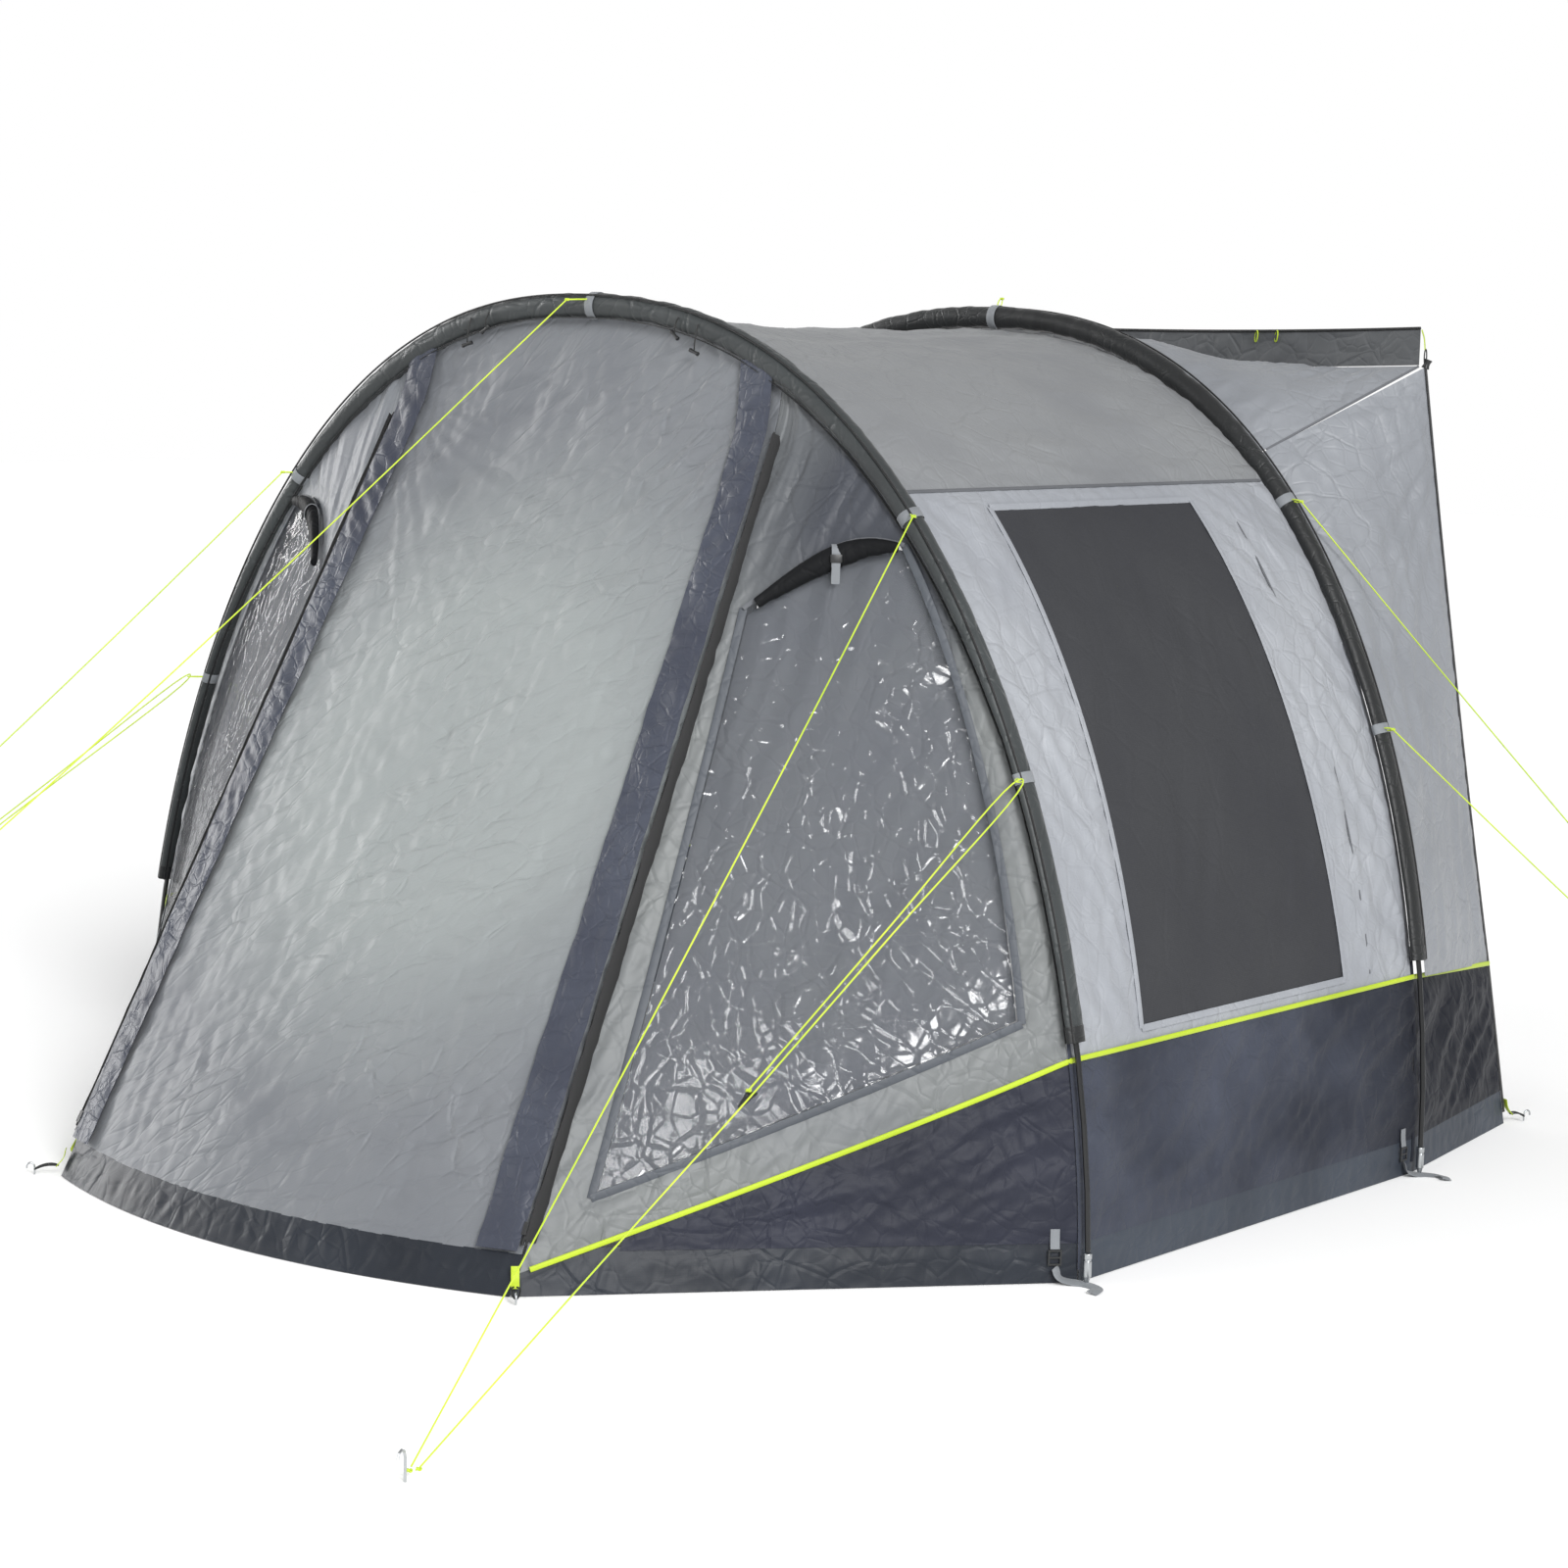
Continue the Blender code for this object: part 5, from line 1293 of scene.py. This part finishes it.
for word, side in sides.items():
    sideWord = word.title()
    share = np.linspace(0.02, 0.98, 120)
    path = sidePoint(side, share, np.full(120, tent["roofSeam"]))
    seamTape(f"roofSeam{sideWord}", path, (side * 0.62, 0, 0.78), 0.010, paint["seam"], rise=0.0022)
    share = np.linspace(0, 1, 120)
    for name, column, row in (("Front", 1.0, None), ("Rear", 2.0, None), ("Low", None, 1.0),
                              ("Top", None, 2.0)):
        path = sidePlace(side)(np.full(120, column) if column else 1 + share,
                               np.full(120, row) if row else 1 + share)
        seamTape(f"meshHem{name}{sideWord}", path, (side * 0.93, 0, 0.36), 0.016, paint["side"],
                 rise=0.0028)
    path = sidePlace(side)(np.full(120, 2.36), 1 + share * 0.98)
    seamTape(f"sideSeam{sideWord}", path, (side * 0.93, 0, 0.36), 0.006, paint["seam"], rise=0.0036)
    reach = tunnelTop(np.array(float(side)), tent["strip"])
    first = at(side * hipX[0], rearY(tent["hip"]) + 0.030, tent["hip"])
    path = mix(first, reach, np.linspace(0.02, 0.99, 60))
    seamTape(f"hipSeam{sideWord}", path, (side * 0.90, 0, 0.43), 0.007, paint["seam"], rise=0.0030)
    z = np.linspace(0.03, tent["tunnelTop"] - tent["strip"], 120)
    path = tunnelEdge(side, z)
    rise = np.clip((z - 0.419) / 1.52, 0, 1)
    path[:, 1] += 0.001 - 0.013 * 4 * rise * (1 - rise)
    seamTape(f"tunnelEdge{sideWord}", path, (side * 0.97, 0.1, 0.2), 0.014, paint["blackWebbing"],
             rise=0.001)
    for name, line in (("Front", frontLeg), ("Rear", rearLeg)):
        z = np.linspace(0.03, 0.52, 60)
        seamTape(f"legSeam{name}{sideWord}", line(side, z), (side * 0.99, -0.1, 0.05), 0.012,
                 paint["slateSide"], rise=0.0016)
print("zips, piping and seams are in")


# ---- feet, straps, pegs and small fittings

feet = {"radius": 0.0094, "shoulder": 0.052, "spike": 0.018, "strapWide": 0.024,
        "strapThick": 0.0016}


def selectFaces(piece, choose):
    bpy.ops.object.mode_set(mode="OBJECT")
    for part in (piece.data.vertices, piece.data.edges, piece.data.polygons):
        part.foreach_set("select", np.zeros(len(part), bool))
    for face in piece.data.polygons:
        face.select = bool(choose(face))
    bpy.ops.object.mode_set(mode="EDIT")
    bpy.ops.mesh.select_mode(type="FACE")


def turnedFerrule():
    # a steel ferrule: a collar at its top, a groove, and a blunt spike that stands on the ground
    deselectAll()
    bpy.ops.mesh.primitive_cylinder_add(vertices=32, radius=feet["radius"],
                                        depth=feet["shoulder"] - feet["spike"],
                                        location=(0, 0, (feet["shoulder"] + feet["spike"]) / 2))
    piece = bpy.context.object
    bpy.ops.object.transform_apply(location=True, rotation=True, scale=True)
    for way, steps in ((1, ((0.0008, 0.86), (0.0030, 1.0), (0.0008, 1.16), (0.0115, 1.0),
                            (0.0012, 0.88))),
                       (-1, ((0.0010, 0.80), (0.0050, 0.9), (0.0090, 0.55), (0.0026, 0.5)))):
        selectFaces(piece, lambda face: face.normal.z * way > 0.9)
        for rise, narrow in steps:
            bpy.ops.mesh.extrude_region_move(TRANSFORM_OT_translate={"value": (0, 0, way * rise)})
            bpy.ops.transform.resize(value=(narrow, narrow, 1))
    bpy.ops.object.mode_set(mode="OBJECT")
    applyModifier(piece, "BEVEL", width=0.0004, segments=2, limit_method="ANGLE")
    bpy.ops.object.shade_smooth_by_angle(angle=math.radians(35))
    return piece


def copyOf(piece, place, turn=None):
    deselectAll()
    piece.select_set(True)
    bpy.context.view_layer.objects.active = piece
    bpy.ops.object.duplicate(linked=False)
    made = bpy.context.object
    made.data.transform(Matrix.Translation(Vector(place)) @ (turn or Matrix()).to_4x4())
    return made


def dropPattern(piece):
    deselectAll()
    piece.select_set(True)
    bpy.ops.object.delete()


ferrule = turnedFerrule()
for name, place in (("front", frontY), ("rear", rearY)):
    for word, side in sides.items():
        sideWord = word.title()
        spot = (side * float(halfWidth(0.070, 0.0)), float(place(0.070)), 0)
        foot = finishPiece(copyOf(ferrule, spot), f"{name}Foot{sideWord}", paint["zinc"], "tent")
        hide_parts(f"{name}_foot_{word}")
        low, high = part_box(f"{name}_foot_buckle_{word}")
        middleX, middleY = (low[0] + high[0]) / 2, (low[1] + high[1]) / 2
        leg = frontLeg(side, 0.06) if name == "front" else rearLeg(side, 0.06)
        other = cornerLine(side, 0.06) if name == "front" else frontLeg(side, 0.06)
        run = leg - other
        run = np.array((run[0], run[1], 0)) / math.hypot(run[0], run[1])
        away = np.array((run[1], -run[0], 0)) * side
        top = np.array((middleX, middleY, 0.073))
        # sewn webbing above the buckle, and the adjusting tail that hangs to the ground
        sweep(f"{name}FootWebbing{sideWord}", smoothRoute(
            [top + np.array((0, 0, 0.046)) - away * 0.0045,
             top + np.array((0, 0, 0.024)) - away * 0.0035,
             top + np.array((0, 0, 0.003)) - away * 0.0008], 12),
            flatOutline(feet["strapWide"] - 0.003, feet["strapThick"], 3),
            paint["greyWebbing"], "tent", hint=away)
        ground = np.array((middleX, middleY, 0.0016))
        foot = np.array(spot)
        sweep(f"{name}FootStrap{sideWord}", smoothRoute(
            [ground + away * 0.003 + np.array((0, 0, 0.036)),
             ground + away * 0.005 + run * 0.012 + np.array((0, 0, 0.012)),
             foot - run * 0.016 + away * 0.003 + np.array((0, 0, 0.004)),
             foot + away * 0.016 + np.array((0, 0, 0.0030)),
             foot + away * 0.042 + run * 0.012 + np.array((0, 0, 0.0030)),
             foot + away * 0.066 + run * 0.004 + np.array((0, 0, 0.006)),
             foot + away * 0.082 - run * 0.010 + np.array((0, 0, 0.0045))], 48),
            flatOutline(feet["strapWide"], feet["strapThick"], 3), paint["greyWebbing"], "tent",
            hint=away * 0.35 + np.array((0, 0, 1.0)))
dropPattern(ferrule)


def makeHook(name, base, away):
    # a steel peg pushed in next to a corner: only its head and hook show
    up = np.array((0, 0, 1.0))
    path = [base, base + up * 0.016, base + up * 0.024 + away * 0.003,
            base + up * 0.027 + away * 0.010, base + up * 0.022 + away * 0.017,
            base + up * 0.014 + away * 0.018]
    return sweep(name, smoothRoute(path, 24), roundOutline(0.0042, count=8), paint["zinc"], "tent")


def makeBungee(name, first, last):
    # a closed elastic loop between a lime webbing tab and its peg
    turn = np.linspace(0, 2 * math.pi, 41)
    reach = last - first
    flat = np.cross(reach, (0, 0, 1.0))
    flat /= np.linalg.norm(flat)
    path = (first + reach * (0.5 - 0.5 * np.cos(turn))[:, None]
            + flat * (0.009 * np.sin(turn))[:, None])
    path[:, 2] += 0.006 * np.sin(turn) ** 2
    return sweep(name, path, roundOutline(0.0040, count=8), paint["bungee"], "tent",
                 closed=True)


for name, place in (("porchCorner", cornerLine), ("tunnelCorner", tunnelEdge)):
    for word, side in sides.items():
        sideWord = word.title()
        corner = place(side, np.array(0.034))
        away = np.array((side * 0.72, -0.70, 0) if name == "porchCorner"
                        else (side * 0.45, 0.89, 0))
        tab = smoothRoute([corner + np.array((0, 0, 0.030)) + away * 0.004,
                           corner + away * 0.010 + np.array((0, 0, 0.008)),
                           corner + away * 0.026 - np.array((0, 0, 0.012))], 14)
        sweep(f"{name}Tab{sideWord}", tab, flatOutline(0.018, 0.0018, 3), paint["lime"], "tent",
              hint=away + np.array((0, 0, 0.5)))
        reach = 0.050 if name == "porchCorner" else 0.040
        peg = corner + away * (0.026 + reach) - np.array((0, 0, 0.0338))
        makeBungee(f"{name}Bungee{sideWord}", corner + away * 0.022 - np.array((0, 0, 0.010)),
                   peg + np.array((0, 0, 0.014)))
        makeHook(f"{name}Peg{sideWord}", peg + np.array((0, 0, 0.0022)), away)


def makeToggle(name, place, way, long=0.030, thick=0.0105):
    # a moulded barrel with a waist, on a short loop of cord
    deselectAll()
    bpy.ops.mesh.primitive_cylinder_add(vertices=20, radius=thick / 2, depth=long)
    piece = bpy.context.object
    bpy.ops.object.mode_set(mode="EDIT")
    bpy.ops.mesh.select_all(action="SELECT")
    bpy.ops.mesh.bisect(plane_co=(0, 0, long * 0.14), plane_no=(0, 0, 1))
    bpy.ops.mesh.select_all(action="SELECT")
    bpy.ops.mesh.bisect(plane_co=(0, 0, -long * 0.14), plane_no=(0, 0, 1))
    bpy.ops.object.mode_set(mode="OBJECT")
    for vertex in piece.data.vertices:
        if abs(vertex.co.z) < long * 0.2:
            vertex.co.x *= 0.74
            vertex.co.y *= 0.74
    applyModifier(piece, "BEVEL", width=0.0016, segments=3, limit_method="ANGLE")
    turn = Vector(way).to_track_quat("Z", "Y").to_matrix().to_4x4()
    piece.data.transform(Matrix.Translation(Vector(place)) @ turn)
    bpy.ops.object.shade_smooth_by_angle(angle=math.radians(40))
    return finishPiece(piece, name, paint["acetal"], "tent")


for word, side in sides.items():
    sideWord = word.title()
    for number, x in enumerate((0.30, 0.36)):
        z = float(heightAt(x, 0.0)) - 0.050
        spot = np.array((side * x, float(frontY(z)) - 0.040, z - 0.022 * number))
        makeToggle(f"doorToggle{sideWord}{number}", spot, (side * 0.75, -0.1, -0.55 + 0.3 * number))
        loop = smoothRoute([spot + np.array((0, 0, 0.001)), spot + np.array((0.004, -0.003, 0.022)),
                            spot + np.array((0, 0.012, 0.040 + 0.022 * number))], 12)
        sweep(f"doorToggleCord{sideWord}{number}", loop, roundOutline(0.0036, count=6),
              paint["bungee"], "tent")

# the tunnel's upper corner: a lime tab and loop, and the ball toggle that holds it to a rail
for word, side in sides.items():
    sideWord = word.title()
    corner = tunnelTop(np.array(float(side)), 0.020)
    if side < 0:                                         # this corner has flopped over
        corner = corner + np.array((-0.02, 0.02, -0.075))
    tab = smoothRoute([corner + np.array((0, 0.004, 0.018)),
                       corner + np.array((side * 0.006, 0.008, -0.004)),
                       corner + np.array((side * 0.010, 0.008, -0.034))], 14)
    sweep(f"railTab{sideWord}", tab, flatOutline(0.020, 0.0018, 3), paint["lime"], "tent",
          hint=(side * 0.9, 0.4, 0.1))
    ball = corner + np.array((side * 0.016, 0.010, -0.070))
    makeToggle(f"railToggle{sideWord}", ball, (0.3, 0.2, 1), long=0.024, thick=0.022)
    turn = np.linspace(0, 2 * math.pi, 33)
    ring = (corner + np.array((side * 0.012, 0.008, -0.052))
            + np.cos(turn)[:, None] * np.array((0, 0, 0.020))
            + np.sin(turn)[:, None] * np.array((0, 0.006, 0)))
    sweep(f"railLoop{sideWord}", ring, roundOutline(0.0036, count=6), paint["bungee"], "tent",
          closed=True)
for number, share in enumerate((0.52, 0.58, -0.10, -0.55)):
    foot = stripPlace(np.array(share), np.array(0.88)) + np.array((0, -0.003, 0))
    turn = np.linspace(0, 2 * math.pi, 29)
    ring = (foot + np.cos(turn)[:, None] * np.array((0.003, -0.002, 0.015))
            + np.sin(turn)[:, None] * np.array((0.007, -0.005, 0)))
    sweep(f"stripLoop{number}", ring, roundOutline(0.0036, count=6), paint["lime"], "tent",
          closed=True)
print("feet and fittings are in")


# ---- finishes of the CAD nodes that stay

kept = {"pole": "fibreglass", "guy_peg": "zinc", "foot_buckle": "acetal", "guy_tensioner": "acetal",
        "zip_slider": "nylon"}
for name, node in nodes.items():
    for part, finish in kept.items():
        if part in name:
            node.data.materials.clear()
            node.data.materials.append(paint[finish])

deselectAll()
bpy.context.view_layer.update()
